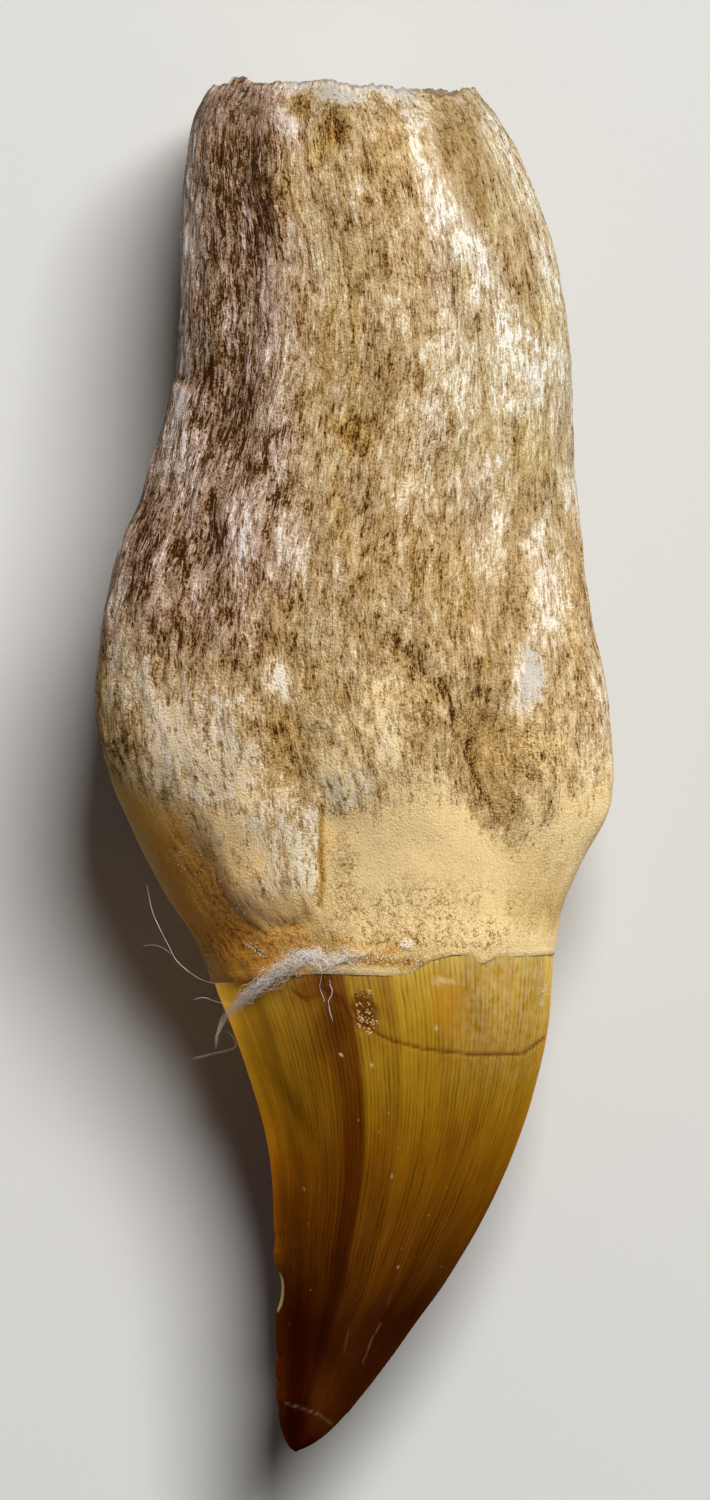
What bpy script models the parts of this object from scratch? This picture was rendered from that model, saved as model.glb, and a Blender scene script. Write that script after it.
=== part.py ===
"""A fossil mosasaur tooth lying on its side: root and crown in one solid, and a wisp of cotton caught on it.

Run it with: blender --background --python part.py

Metres, +Z up. The tooth lies along Y, with its tip towards -Y and its broken root end towards +Y. The crown
hooks towards -X. The origin is the middle of the tooth's footprint, on the surface that it rests on.

The tooth is a sphere whose poles are the root end and the tip. Each of its rings is laid on a cross-section of
the tooth, and each point then moves out or in by the relief of the surface there: lumps, grooves, flutes,
the step at the enamel's edge and the unevenness of the bone.
"""

import bisect
import functools
import math
from typing import NamedTuple

import bmesh
import bpy
from mathutils import Vector, noise
from mathutils.bvhtree import BVHTree

# --- Driving dimensions --------------------------------------------------------------------------------------
LENGTH = 0.1372  # tip to broken root end
CROWN_LENGTH = 0.0490  # tip to the enamel's edge, on average
ENAMEL_STEP = 0.0004  # the crown stands this much inside the sandy collar
REST_LEVEL = 0.0  # the root's underside is flat here, and the tooth rests on it

RIM_ROUGHNESS = 0.0007  # how far the broken end's bumps stand out
RIM_FINE_SHARE = 0.6  # how strong its fine bumps are beside its coarse ones
RIM_COARSE, RIM_FINE = 0.0045, 0.0016  # how wide they are
END_HOLLOW = 0.0016  # how deep the broken end is dished

SEGMENTS = 132  # points round the tooth before thinning
RINGS = 190  # rings from the root end's middle to the tip before thinning
END_SHARE = 0.07  # share of the rings that covers the broken end
KEPT_TRIANGLES = 9200  # what the thinned tooth has, before its flat is cut

COTTON_GAP = 0.0004  # air between the cotton and the tooth
COTTON_BUNDLE_RADIUS = 0.00055
COTTON_STRAND_RADIUS = 0.00022


class Section(NamedTuple):
    """One cross-section of the tooth, square to its length."""

    at: float  # distance from the tip
    left: float  # X of the left side
    right: float  # X of the right side
    bottom: float  # Z of the underside
    top: float  # Z of the upper side
    edge: float  # 0.5 rounds the two sides off as an ellipse does, and 1 makes them keels


SECTIONS = (
    Section(0.0000, -0.0060, -0.0060, 0.0170, 0.0170, 0.72),  # tip
    Section(0.0006, -0.0067, -0.0045, 0.0164, 0.0177, 0.72),
    Section(0.0025, -0.0077, -0.0018, 0.0153, 0.0189, 0.73),
    Section(0.0055, -0.0083, 0.0010, 0.0142, 0.0203, 0.74),
    Section(0.0105, -0.0084, 0.0048, 0.0128, 0.0220, 0.74),
    Section(0.0205, -0.0085, 0.0117, 0.0106, 0.0249, 0.70),
    Section(0.0305, -0.0091, 0.0165, 0.0085, 0.0273, 0.66),
    Section(0.0405, -0.0120, 0.0194, 0.0064, 0.0294, 0.60),
    Section(0.0480, -0.0150, 0.0202, 0.0049, 0.0312, 0.55),  # enamel's edge
    Section(0.0515, -0.0163, 0.0203, 0.0042, 0.0320, 0.52),
    Section(0.0560, -0.0195, 0.0214, 0.0029, 0.0336, 0.50),
    Section(0.0610, -0.0218, 0.0236, 0.0013, 0.0356, 0.49),
    Section(0.0650, -0.0238, 0.0253, -0.0002, 0.0372, 0.48),  # swelling of the root
    Section(0.0705, -0.0257, 0.0251, -0.0012, 0.0386, 0.47),
    Section(0.0765, -0.0260, 0.0247, -0.0015, 0.0390, 0.47),
    Section(0.0855, -0.0253, 0.0232, -0.0013, 0.0382, 0.47),
    Section(0.0955, -0.0218, 0.0216, -0.0010, 0.0367, 0.46),
    Section(0.1055, -0.0187, 0.0213, -0.0009, 0.0354, 0.46),
    Section(0.1155, -0.0175, 0.0207, -0.0009, 0.0341, 0.46),
    Section(0.1255, -0.0174, 0.0181, -0.0006, 0.0323, 0.46),
    Section(0.1320, -0.0168, 0.0147, 0.0003, 0.0302, 0.46),
    Section(0.1357, -0.0156, 0.0122, 0.0017, 0.0280, 0.47),
    Section(0.1372, -0.0142, 0.0110, 0.0032, 0.0262, 0.48),  # broken end
)
STATIONS = [section.at for section in SECTIONS]
TIP, END = SECTIONS[0], SECTIONS[-1]

UPPER, UNDER, BOTH = 1, -1, 0  # the faces of the tooth that a lump or groove shows on


class Lump(NamedTuple):
    """A lump, or with a negative height a hollow, that the tooth shows on one of its faces."""

    x: float
    at: float  # distance of its middle from the tip
    half_width: float
    half_length: float
    lean: float  # degrees that it leans from the tooth's length, towards +X at its root end
    height: float
    steepness: float  # 2 is a soft mound, and 6 a plateau with a ledge round it
    face: int


LUMPS = (
    Lump(0.0131, 0.0695, 0.0039, 0.0066, -4, -0.0026, 3.0, UPPER),  # hollow left by the next tooth
    Lump(0.0150, 0.0628, 0.0018, 0.0034, -8, -0.0009, 2.0, UPPER),  # its narrow foot
    Lump(-0.0088, 0.0602, 0.0056, 0.0062, -14, 0.0012, 6.0, UPPER),  # plate of bone over the collar
    Lump(-0.0125, 0.0665, 0.0085, 0.0070, 0, 0.0006, 2.0, UPPER),  # swelling above the plate
    Lump(0.0060, 0.0585, 0.0088, 0.0092, 0, -0.0008, 4.0, UPPER),  # sandy collar under the bone's arch
    Lump(-0.0165, 0.0540, 0.0034, 0.0070, 24, -0.0006, 2.0, UPPER),  # smooth dip beside the plate
    Lump(-0.0230, 0.0905, 0.0022, 0.0021, 0, 0.0002, 2.0, BOTH),  # knob on the left side
    Lump(-0.0166, 0.1072, 0.0032, 0.0012, 30, -0.0007, 2.0, BOTH),  # nick above the left shoulder
    Lump(-0.0150, 0.1060, 0.0024, 0.0010, 20, 0.0005, 2.0, UPPER),
    Lump(-0.0004, 0.1024, 0.0016, 0.0026, 20, -0.0007, 2.5, UPPER),  # thumb-shaped dent
    Lump(-0.0045, 0.1328, 0.0036, 0.0026, -25, -0.0006, 2.5, UPPER),  # oval hollow at the broken end
    Lump(-0.0019, 0.1322, 0.0012, 0.0019, -30, -0.0006, 2.5, UPPER),
    Lump(0.0110, 0.1290, 0.0040, 0.0075, -20, 0.0004, 3.0, UPPER),  # smooth swelling beside it
    Lump(0.0040, 0.0860, 0.0060, 0.0120, 5, 0.0005, 2.0, UPPER),
    Lump(0.0190, 0.0800, 0.0030, 0.0130, -6, -0.0004, 2.0, UPPER),
    Lump(-0.0120, 0.1270, 0.0034, 0.0080, 4, -0.0005, 3.0, UPPER),  # hollows where the outer bone is worn off
    Lump(-0.0132, 0.1045, 0.0024, 0.0050, 8, -0.0005, 4.0, UPPER),
    Lump(-0.0070, 0.0700, 0.0030, 0.0042, 0, -0.0005, 3.0, UPPER),
    Lump(-0.0150, 0.0890, 0.0026, 0.0070, 10, -0.0003, 3.0, UPPER),
    Lump(-0.0020, 0.0560, 0.0110, 0.0050, 0, 0.0008, 3.0, UNDER),  # sand left on the underside
    Lump(0.0130, 0.0620, 0.0050, 0.0060, 10, -0.0010, 3.0, UNDER),
    Lump(-0.0150, 0.1150, 0.0030, 0.0150, 4, -0.0007, 2.0, UNDER),
)


class Groove(NamedTuple):
    """A straight groove, or with a negative depth a ridge, from one point to another on one face."""

    x_start: float
    at_start: float
    x_end: float
    at_end: float
    half_width: float
    depth: float
    face: int


GROOVES = (
    Groove(0.0046, 0.0805, 0.0102, 0.0745, 0.0009, 0.0009, UPPER),  # runs down into the hollow
    Groove(-0.0031, 0.0662, -0.0030, 0.0560, 0.0006, 0.0009, UPPER),  # right edge of the plate
    Groove(-0.0108, 0.0535, -0.0045, 0.0532, 0.0007, 0.0007, UPPER),  # foot of the plate
    Groove(0.0060, 0.1372, 0.0086, 0.1225, 0.0012, 0.0007, UPPER),  # valley from the broken end
    Groove(0.0086, 0.1225, 0.0125, 0.1060, 0.0014, 0.0004, UPPER),
    Groove(-0.0075, 0.0800, -0.0052, 0.0672, 0.0011, 0.0004, UPPER),
    Groove(-0.0025, 0.0440, -0.0008, 0.0300, 0.0018, -0.0004, UPPER),  # long ridge down the crown
    Groove(-0.0008, 0.0300, -0.0018, 0.0120, 0.0014, -0.0003, UPPER),
    Groove(0.0020, 0.0460, 0.0010, 0.0150, 0.0018, -0.0003, UNDER),
    Groove(0.0050, 0.1300, 0.0020, 0.0850, 0.0016, 0.0005, UNDER),
)


class Chip(NamedTuple):
    """A bite out of the crown's left keel."""

    at: float
    half_length: float
    depth: float


CHIPS = (
    Chip(0.0165, 0.0018, 0.0006),
    Chip(0.0099, 0.0005, 0.0003),
    Chip(0.0070, 0.0003, 0.0002),
)
KEEL_FROM, KEEL_FULL = -0.90, -0.99  # cosines of the turn between which a chip reaches its full depth


class Flute(NamedTuple):
    """A set of long shallow ridges round the root, waves to a turn, which wander as they run along it."""

    waves: int
    height: float
    start: float  # radians at the root end
    drift: float  # radians for each metre of length


FLUTES = (
    Flute(5, 0.00030, 0.6, 4.0),
    Flute(9, 0.00020, 2.1, -9.0),
    Flute(14, 0.00015, 4.0, 14.0),
)
FLUTES_FROM, FLUTES_FULL = 0.0560, 0.0720  # distances from the tip between which the flutes fade in


class Unevenness(NamedTuple):
    """Lumpiness of the bone at one scale."""

    size: float
    height: float


BONE_UNEVENNESS = (Unevenness(0.0110, 0.00060), Unevenness(0.0042, 0.00032))

FACE_BLEND = 0.35  # sine of the turn at which a face's lumps have their full height
STEP_HALF_WIDTH = 0.0004  # half the length over which the step at the enamel's edge drops
TIP_TAPER = 0.004  # the relief fades out over this length at the tip


@functools.cache
def section_at(at):
    """The cross-section at a distance from the tip, on smooth curves through SECTIONS."""
    after = min(max(bisect.bisect_right(STATIONS, at), 1), len(STATIONS) - 1)
    before = after - 1
    span = STATIONS[after] - STATIONS[before]
    t = min(max((at - STATIONS[before]) / span, 0.0), 1.0)

    def slope(values, i):
        low, high = max(i - 1, 0), min(i + 1, len(STATIONS) - 1)
        return (values[high] - values[low]) / (STATIONS[high] - STATIONS[low])

    def smooth(values):
        return (
            (2 * t**3 - 3 * t**2 + 1) * values[before]
            + (t**3 - 2 * t**2 + t) * span * slope(values, before)
            + (3 * t**2 - 2 * t**3) * values[after]
            + (t**3 - t**2) * span * slope(values, after)
        )

    return Section(*(smooth(values) for values in zip(*SECTIONS)))


def smoothstep(low, high, value):
    """0 below low, 1 above high, and a smooth step between them."""
    t = min(max((value - low) / (high - low), 0.0), 1.0)
    return t * t * (3 - 2 * t)


def face_share(face, turn):
    """How fully a point at this turn round the tooth lies on the face."""
    return 1.0 if face == BOTH else smoothstep(0.0, FACE_BLEND, face * math.sin(turn))


def lump_height(lump, x, at):
    """How far one lump raises the surface at a point of its face."""
    lean = math.radians(lump.lean)
    dx, dy = x - lump.x, at - lump.at
    across = (dx * math.cos(lean) - dy * math.sin(lean)) / lump.half_width
    along = (dx * math.sin(lean) + dy * math.cos(lean)) / lump.half_length
    return lump.height * math.exp(-(math.hypot(across, along) ** lump.steepness))


def groove_height(groove, x, at):
    """How far one groove lowers the surface at a point of its face, as a negative height."""
    run_x, run_at = groove.x_end - groove.x_start, groove.at_end - groove.at_start
    t = ((x - groove.x_start) * run_x + (at - groove.at_start) * run_at) / (run_x**2 + run_at**2)
    t = min(max(t, 0.0), 1.0)
    gap = math.hypot(x - groove.x_start - t * run_x, at - groove.at_start - t * run_at)
    return -groove.depth * math.exp(-((gap / groove.half_width) ** 2))


def enamel_edge(turn):
    """Distance of the enamel's edge from the tip: the crown is longer on its outer, +X side."""
    return CROWN_LENGTH + 0.0014 * math.cos(turn) + 0.0004 * math.sin(turn) + 0.0003 * math.sin(3 * turn + 1.0)


def relief(x, z, at, turn):
    """How far the surface stands out from its plain cross-section."""
    height = sum(lump_height(lump, x, at) * face_share(lump.face, turn) for lump in LUMPS)
    height += sum(groove_height(groove, x, at) * face_share(groove.face, turn) for groove in GROOVES)
    bone = smoothstep(enamel_edge(turn) - STEP_HALF_WIDTH, enamel_edge(turn) + STEP_HALF_WIDTH, at)
    height -= ENAMEL_STEP * (1 - bone)
    fluted = smoothstep(FLUTES_FROM, FLUTES_FULL, at)
    for flute in FLUTES:
        height += fluted * flute.height * math.sin(flute.waves * turn + flute.start + flute.drift * (LENGTH - at))
    for uneven in BONE_UNEVENNESS:
        height += bone * uneven.height * noise.noise(Vector((x, at, z)) / uneven.size)
    return height * smoothstep(0.0, TIP_TAPER, at)


def chip_depth(at, turn):
    """How much the crown's left keel has lost at this point."""
    on_keel = smoothstep(-KEEL_FROM, -KEEL_FULL, -math.cos(turn))
    return on_keel * sum(chip.depth * math.exp(-(((at - chip.at) / chip.half_length) ** 4)) for chip in CHIPS)


def side_point(at, turn):
    """The point of the tooth's side at a distance from the tip and a turn round it, 0 at +X and up from there."""
    section = section_at(at)
    across = math.cos(turn)
    rise = max(1 - across**2, 0.0) ** section.edge
    x = (section.left + section.right) / 2 + (section.right - section.left) / 2 * across
    z = (section.bottom + section.top) / 2 + (section.top - section.bottom) / 2 * math.copysign(rise, math.sin(turn))
    out = relief(x, z, at, turn)
    x += out * across + chip_depth(at, turn)
    z += out * math.sin(turn)
    return Vector((x, at - LENGTH / 2, z))


def end_point(share, turn):
    """The point of the broken end that lies this share of the way from its middle to its rim."""
    rim = side_point(LENGTH, turn)
    middle = Vector(((END.left + END.right) / 2, rim.y, (END.bottom + END.top) / 2))
    point = middle.lerp(rim, share)
    coarse = noise.noise(point / RIM_COARSE + Vector((7.0, 0.0, 3.0)))
    fine = noise.noise(point / RIM_FINE + Vector((2.0, 5.0, 0.0)))
    point.y += RIM_ROUGHNESS * (coarse + RIM_FINE_SHARE * fine) - END_HOLLOW * (1 - share**2)
    return point


def place_ring_vertex(vertex):
    """Moves a vertex of a unit sphere, whose poles are the root end and the tip, to its place on the tooth."""
    turn = math.atan2(vertex.co.y, vertex.co.x)
    down = math.acos(min(max(vertex.co.z, -1.0), 1.0)) / math.pi
    if down < END_SHARE:
        vertex.co = end_point(down / END_SHARE, turn)
    else:
        vertex.co = side_point(LENGTH * (1 - down) / (1 - END_SHARE), turn)


def new_material(name, colour, roughness):
    """A plain finish."""
    material = bpy.data.materials.new(name)
    material.use_nodes = True
    shader = material.node_tree.nodes["Principled BSDF"]
    shader.inputs["Base Color"].default_value = (*colour, 1.0)
    shader.inputs["Roughness"].default_value = roughness
    shader.inputs["Metallic"].default_value = 0.0
    return material


def build_flat_cutter(collection):
    """A block under the level that the tooth rests on."""
    bm = bmesh.new()
    bmesh.ops.create_cube(bm, size=LENGTH)
    mesh = bpy.data.meshes.new("flat_cutter")
    bm.to_mesh(mesh)
    bm.free()
    cutter = bpy.data.objects.new("flat_cutter", mesh)
    collection.objects.link(cutter)
    cutter.location.z = REST_LEVEL - LENGTH / 2
    cutter.hide_render = True
    cutter.display_type = "WIRE"
    return cutter


def build_tooth(collection, flat_cutter):
    """The tooth: a sphere drawn out over the cross-sections, thinned, and cut flat where it rests."""
    bm = bmesh.new()
    bmesh.ops.create_uvsphere(bm, u_segments=SEGMENTS, v_segments=RINGS, radius=1.0)
    for vertex in bm.verts:
        place_ring_vertex(vertex)
    bmesh.ops.triangulate(bm, faces=bm.faces)
    bmesh.ops.recalc_face_normals(bm, faces=bm.faces)
    mesh = bpy.data.meshes.new("tooth")
    kept_share = KEPT_TRIANGLES / len(bm.faces)
    bm.to_mesh(mesh)
    bm.free()
    mesh.shade_smooth()
    mesh.materials.append(new_material("fossil_bone", (0.55, 0.42, 0.25), 0.75))
    tooth = bpy.data.objects.new("tooth", mesh)
    collection.objects.link(tooth)
    tooth.modifiers.new("thin", "DECIMATE").ratio = kept_share
    flat = tooth.modifiers.new("flat", "BOOLEAN")
    flat.operation = "DIFFERENCE"
    flat.object = flat_cutter
    return tooth


# Routes of the cotton: X, distance from the tip, and Z. A point with no height lies on the tooth.
COTTON_BUNDLE = (
    (0.0018, 0.0508, None),
    (-0.0010, 0.0500, None),
    (-0.0037, 0.0502, None),
    (-0.0059, 0.0493, None),
    (-0.0079, 0.0480, None),
    (-0.0103, 0.0467, None),
    (-0.0123, 0.0447, None),
    (-0.0137, 0.0427, 0.0163),
    (-0.0142, 0.0407, 0.0135),
)
COTTON_STRANDS = (
    (  # out past the left side, and up along the collar
        (-0.0103, 0.0467, None),
        (-0.0130, 0.0471, None),
        (-0.0158, 0.0474, 0.0215),
        (-0.0182, 0.0490, 0.0225),
        (-0.0198, 0.0525, 0.0220),
        (-0.0209, 0.0565, 0.0205),
    ),
    (  # down over the enamel
        (-0.0037, 0.0502, None),
        (-0.0034, 0.0470, None),
        (-0.0028, 0.0448, None),
        (-0.0022, 0.0425, None),
    ),
    (  # the loop below the bundle's end
        (-0.0137, 0.0427, 0.0163),
        (-0.0165, 0.0394, 0.0123),
        (-0.0195, 0.0385, 0.0088),
        (-0.0213, 0.0380, 0.0063),
    ),
)
OVERHEAD = 1.0  # a height above everything


def laid_point(surface, x, at, height, radius):
    """A point of a route: at the given height, or else lying on the tooth with a gap under it."""
    if height is not None:
        return Vector((x, at - LENGTH / 2, height))
    spot, normal, _, _ = surface.ray_cast(Vector((x, at - LENGTH / 2, OVERHEAD)), Vector((0.0, 0.0, -1.0)))
    return spot + normal * (radius + COTTON_GAP)


def cotton_curve(name, surface, route, radius):
    """A curve object with round sides and filled ends, smooth through the points of a route."""
    curve = bpy.data.curves.new(name, "CURVE")
    curve.dimensions = "3D"
    curve.bevel_depth = radius
    curve.bevel_resolution = 1
    curve.resolution_u = 2
    curve.use_fill_caps = True
    spline = curve.splines.new("BEZIER")
    spline.bezier_points.add(len(route) - 1)
    for knot, (x, at, height) in zip(spline.bezier_points, route):
        knot.co = laid_point(surface, x, at, height, radius)
        knot.handle_left_type = knot.handle_right_type = "AUTO"
    return bpy.data.objects.new(name + "_route", curve)


def cotton_tube(name, surface, route, radius):
    """A closed tube along a route, as a mesh object that can be joined to another."""
    guide = cotton_curve(name, surface, route, radius)
    bpy.context.scene.collection.objects.link(guide)
    mesh = bpy.data.meshes.new_from_object(guide.evaluated_get(bpy.context.evaluated_depsgraph_get()))
    bpy.data.objects.remove(guide)
    bm = bmesh.new()
    bm.from_mesh(mesh)
    bmesh.ops.remove_doubles(bm, verts=bm.verts, dist=1e-6)
    bmesh.ops.recalc_face_normals(bm, faces=bm.faces)
    bm.to_mesh(mesh)
    bm.free()
    return bpy.data.objects.new(name, mesh)


def build_cotton(tooth, collection, helpers):
    """The wisp of cotton caught at the enamel's edge: its bundle, with the strands that leave it joined on."""
    surface = BVHTree.FromObject(tooth, bpy.context.evaluated_depsgraph_get())
    wisp = cotton_tube("cotton_wisp", surface, COTTON_BUNDLE, COTTON_BUNDLE_RADIUS)
    collection.objects.link(wisp)
    wisp.data.materials.append(new_material("cotton", (0.80, 0.77, 0.72), 0.9))
    for number, route in enumerate(COTTON_STRANDS, start=1):
        strand = cotton_tube(f"cotton_strand_{number}", surface, route, COTTON_STRAND_RADIUS)
        helpers.objects.link(strand)
        strand.hide_render = True
        strand.display_type = "WIRE"
        union = wisp.modifiers.new(strand.name, "BOOLEAN")
        union.operation = "UNION"
        union.object = strand


def main():
    """Builds the tooth and the cotton on it."""
    for obj in list(bpy.data.objects):
        bpy.data.objects.remove(obj)
    model = bpy.data.collections.new("fossil_mosasaur_tooth")
    helpers = bpy.data.collections.new("cutters_and_joined_shapes")
    for collection in (model, helpers):
        bpy.context.scene.collection.children.link(collection)
    tooth = build_tooth(model, build_flat_cutter(helpers))
    build_cotton(tooth, model, helpers)


main()
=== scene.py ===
"""Looks of a fossil mosasaur tooth: fibrous root, sandy collar, enamel crown and a caught wisp of cotton.

Sizes in the classes below are in millimetres, and meshes are in metres. A place on the tooth is its X and its
distance from the tip, called "at". A turn goes round the tooth in radians, 0 at +X and a quarter turn on top.
The skins of the root and the crown are fitted over the frame's solid, and finer relief is worked into them.
"""

import logging
import math
from collections.abc import Mapping, Sequence
from dataclasses import dataclass
from enum import Enum
from itertools import combinations
from typing import Any

import bpy
import numpy as np
from mathutils import Matrix, Vector
from mathutils.bvhtree import BVHTree


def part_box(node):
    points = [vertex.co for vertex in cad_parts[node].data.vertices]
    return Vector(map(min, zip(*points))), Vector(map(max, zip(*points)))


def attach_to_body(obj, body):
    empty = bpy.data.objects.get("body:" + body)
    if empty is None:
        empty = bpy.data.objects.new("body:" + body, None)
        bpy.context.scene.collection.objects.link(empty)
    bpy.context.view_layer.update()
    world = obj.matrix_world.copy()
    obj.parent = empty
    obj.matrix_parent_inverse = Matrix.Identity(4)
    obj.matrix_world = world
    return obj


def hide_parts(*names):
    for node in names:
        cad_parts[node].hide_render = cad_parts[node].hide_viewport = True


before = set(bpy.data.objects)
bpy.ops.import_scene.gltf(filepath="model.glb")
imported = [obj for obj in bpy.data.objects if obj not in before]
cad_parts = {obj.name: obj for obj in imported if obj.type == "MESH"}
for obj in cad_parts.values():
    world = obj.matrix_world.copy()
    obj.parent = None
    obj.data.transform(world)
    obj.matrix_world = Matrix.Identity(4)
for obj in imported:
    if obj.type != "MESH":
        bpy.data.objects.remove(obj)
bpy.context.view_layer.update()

MM = 0.001
TINY = 1e-9
DOWN = Vector((0, 0, -1))
Array = np.ndarray
Colour = tuple[float, float, float]
Stops = tuple[tuple[float, Colour], ...]
Size = float | Sequence[float]
Rows = tuple[tuple[float, ...], ...]
log = logging.getLogger("fossil_tooth")


# --- Sums on arrays ---
def smoothstep(low: float, high: float, value: Array) -> Array:
    """A smooth step from 0 at low to 1 at high, or down from 1 to 0 where low is above high.

    Args:
        low: where the step starts.
        high: where it ends.
        value: the numbers to pass through it.

    Returns:
        Numbers from 0 to 1.
    """
    t = np.clip((value - low) / (high - low), 0.0, 1.0)
    return t * t * (3 - 2 * t)


def blurred(values: Array, sigma: float, axis: int, closed: bool) -> Array:
    """A Gaussian blur along one axis.

    Args:
        values: the numbers to blur.
        sigma: the blur's width, in steps of the axis.
        axis: the axis to blur along.
        closed: whether the axis goes round and meets itself. An open axis keeps its end values.

    Returns:
        The blurred numbers.
    """
    reach = int(3 * sigma) + 1
    kernel = np.exp(-0.5 * (np.arange(-reach, reach + 1) / sigma) ** 2)
    kernel /= kernel.sum()
    pad = [(0, 0)] * values.ndim
    pad[axis] = (reach, reach)
    padded = np.pad(values, pad, "wrap") if closed else np.pad(values, pad, "reflect", reflect_type="odd")
    steps = np.arange(values.shape[axis])
    return sum(weight * np.take(padded, steps + start, axis) for start, weight in enumerate(kernel))


def noise(seed: int, places: Array, size: Size, layers: int = 1) -> Array:
    """Seeded gradient noise in three dimensions.

    Args:
        seed: what its chance starts from.
        places: points, with their three coordinates in the last axis.
        size: how large a feature is, or how large along each coordinate.
        layers: how many layers it has, each half as large and half as strong as the one before.

    Returns:
        One number for each point, from about -1 to 1.
    """
    total = np.zeros(places.shape[:-1])
    for layer in range(layers):
        rng = np.random.default_rng(seed + 101 * layer)
        order, slopes = rng.permutation(256), rng.normal(size=(256, 3))
        slopes /= np.linalg.norm(slopes, axis=1, keepdims=True)
        scaled = places / (np.asarray(size) * 0.5**layer)
        cell = np.floor(scaled).astype(int)
        inside = scaled - cell
        fade = inside**3 * (inside * (inside * 6 - 15) + 10)
        one = np.zeros(places.shape[:-1])
        for corner in np.ndindex(2, 2, 2):
            step = np.asarray(corner)
            x, y, z = np.moveaxis((cell + step) & 255, -1, 0)
            slope = slopes[order[(order[(order[x] + y) & 255] + z) & 255]]
            weight = np.prod(np.where(step == 1, fade, 1 - fade), axis=-1)
            one += weight * np.sum(slope * (inside - step), axis=-1)
        total += 0.5**layer * (one * 1.6)
    return total / (2 - 0.5 ** (layers - 1))


# --- Shader sums ---
class Value:
    """A number socket of a shader, which takes part in Python sums by adding Math nodes."""

    def __init__(self, graph: "Graph", socket: Any) -> None:
        """Wraps an output socket of the graph."""
        self.graph = graph
        self.socket = socket

    def _math(self, operation: str, *terms: "Value | float", clamp: bool = False) -> "Value":
        """Adds a Math node with these terms, whose result may be kept from 0 to 1."""
        settings = {"operation": operation, "use_clamp": clamp}
        return self.graph.value("ShaderNodeMath", settings, dict(enumerate(terms)))

    def __add__(self, other: "Value | float") -> "Value":
        """self + other."""
        return self._math("ADD", self, other)

    def __sub__(self, other: "Value | float") -> "Value":
        """self - other."""
        return self._math("SUBTRACT", self, other)

    def __rsub__(self, other: float) -> "Value":
        """other - self."""
        return self._math("SUBTRACT", other, self)

    def __mul__(self, other: "Value | float") -> "Value":
        """self * other."""
        return self._math("MULTIPLY", self, other)

    __radd__ = __add__
    __rmul__ = __mul__

    def clamped(self) -> "Value":
        """This number, kept from 0 to 1."""
        return self._math("ADD", self, 0.0, clamp=True)

    def step(self, low: float, high: float) -> "Value":
        """A smooth step of this number, from 0 at low to 1 at high. High may be below low."""
        inputs = {0: self, 1: low, 2: high} if low < high else {0: self, 1: high, 2: low, 3: 1.0, 4: 0.0}
        return self.graph.value("ShaderNodeMapRange", {"interpolation_type": "SMOOTHSTEP"}, inputs)


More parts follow.
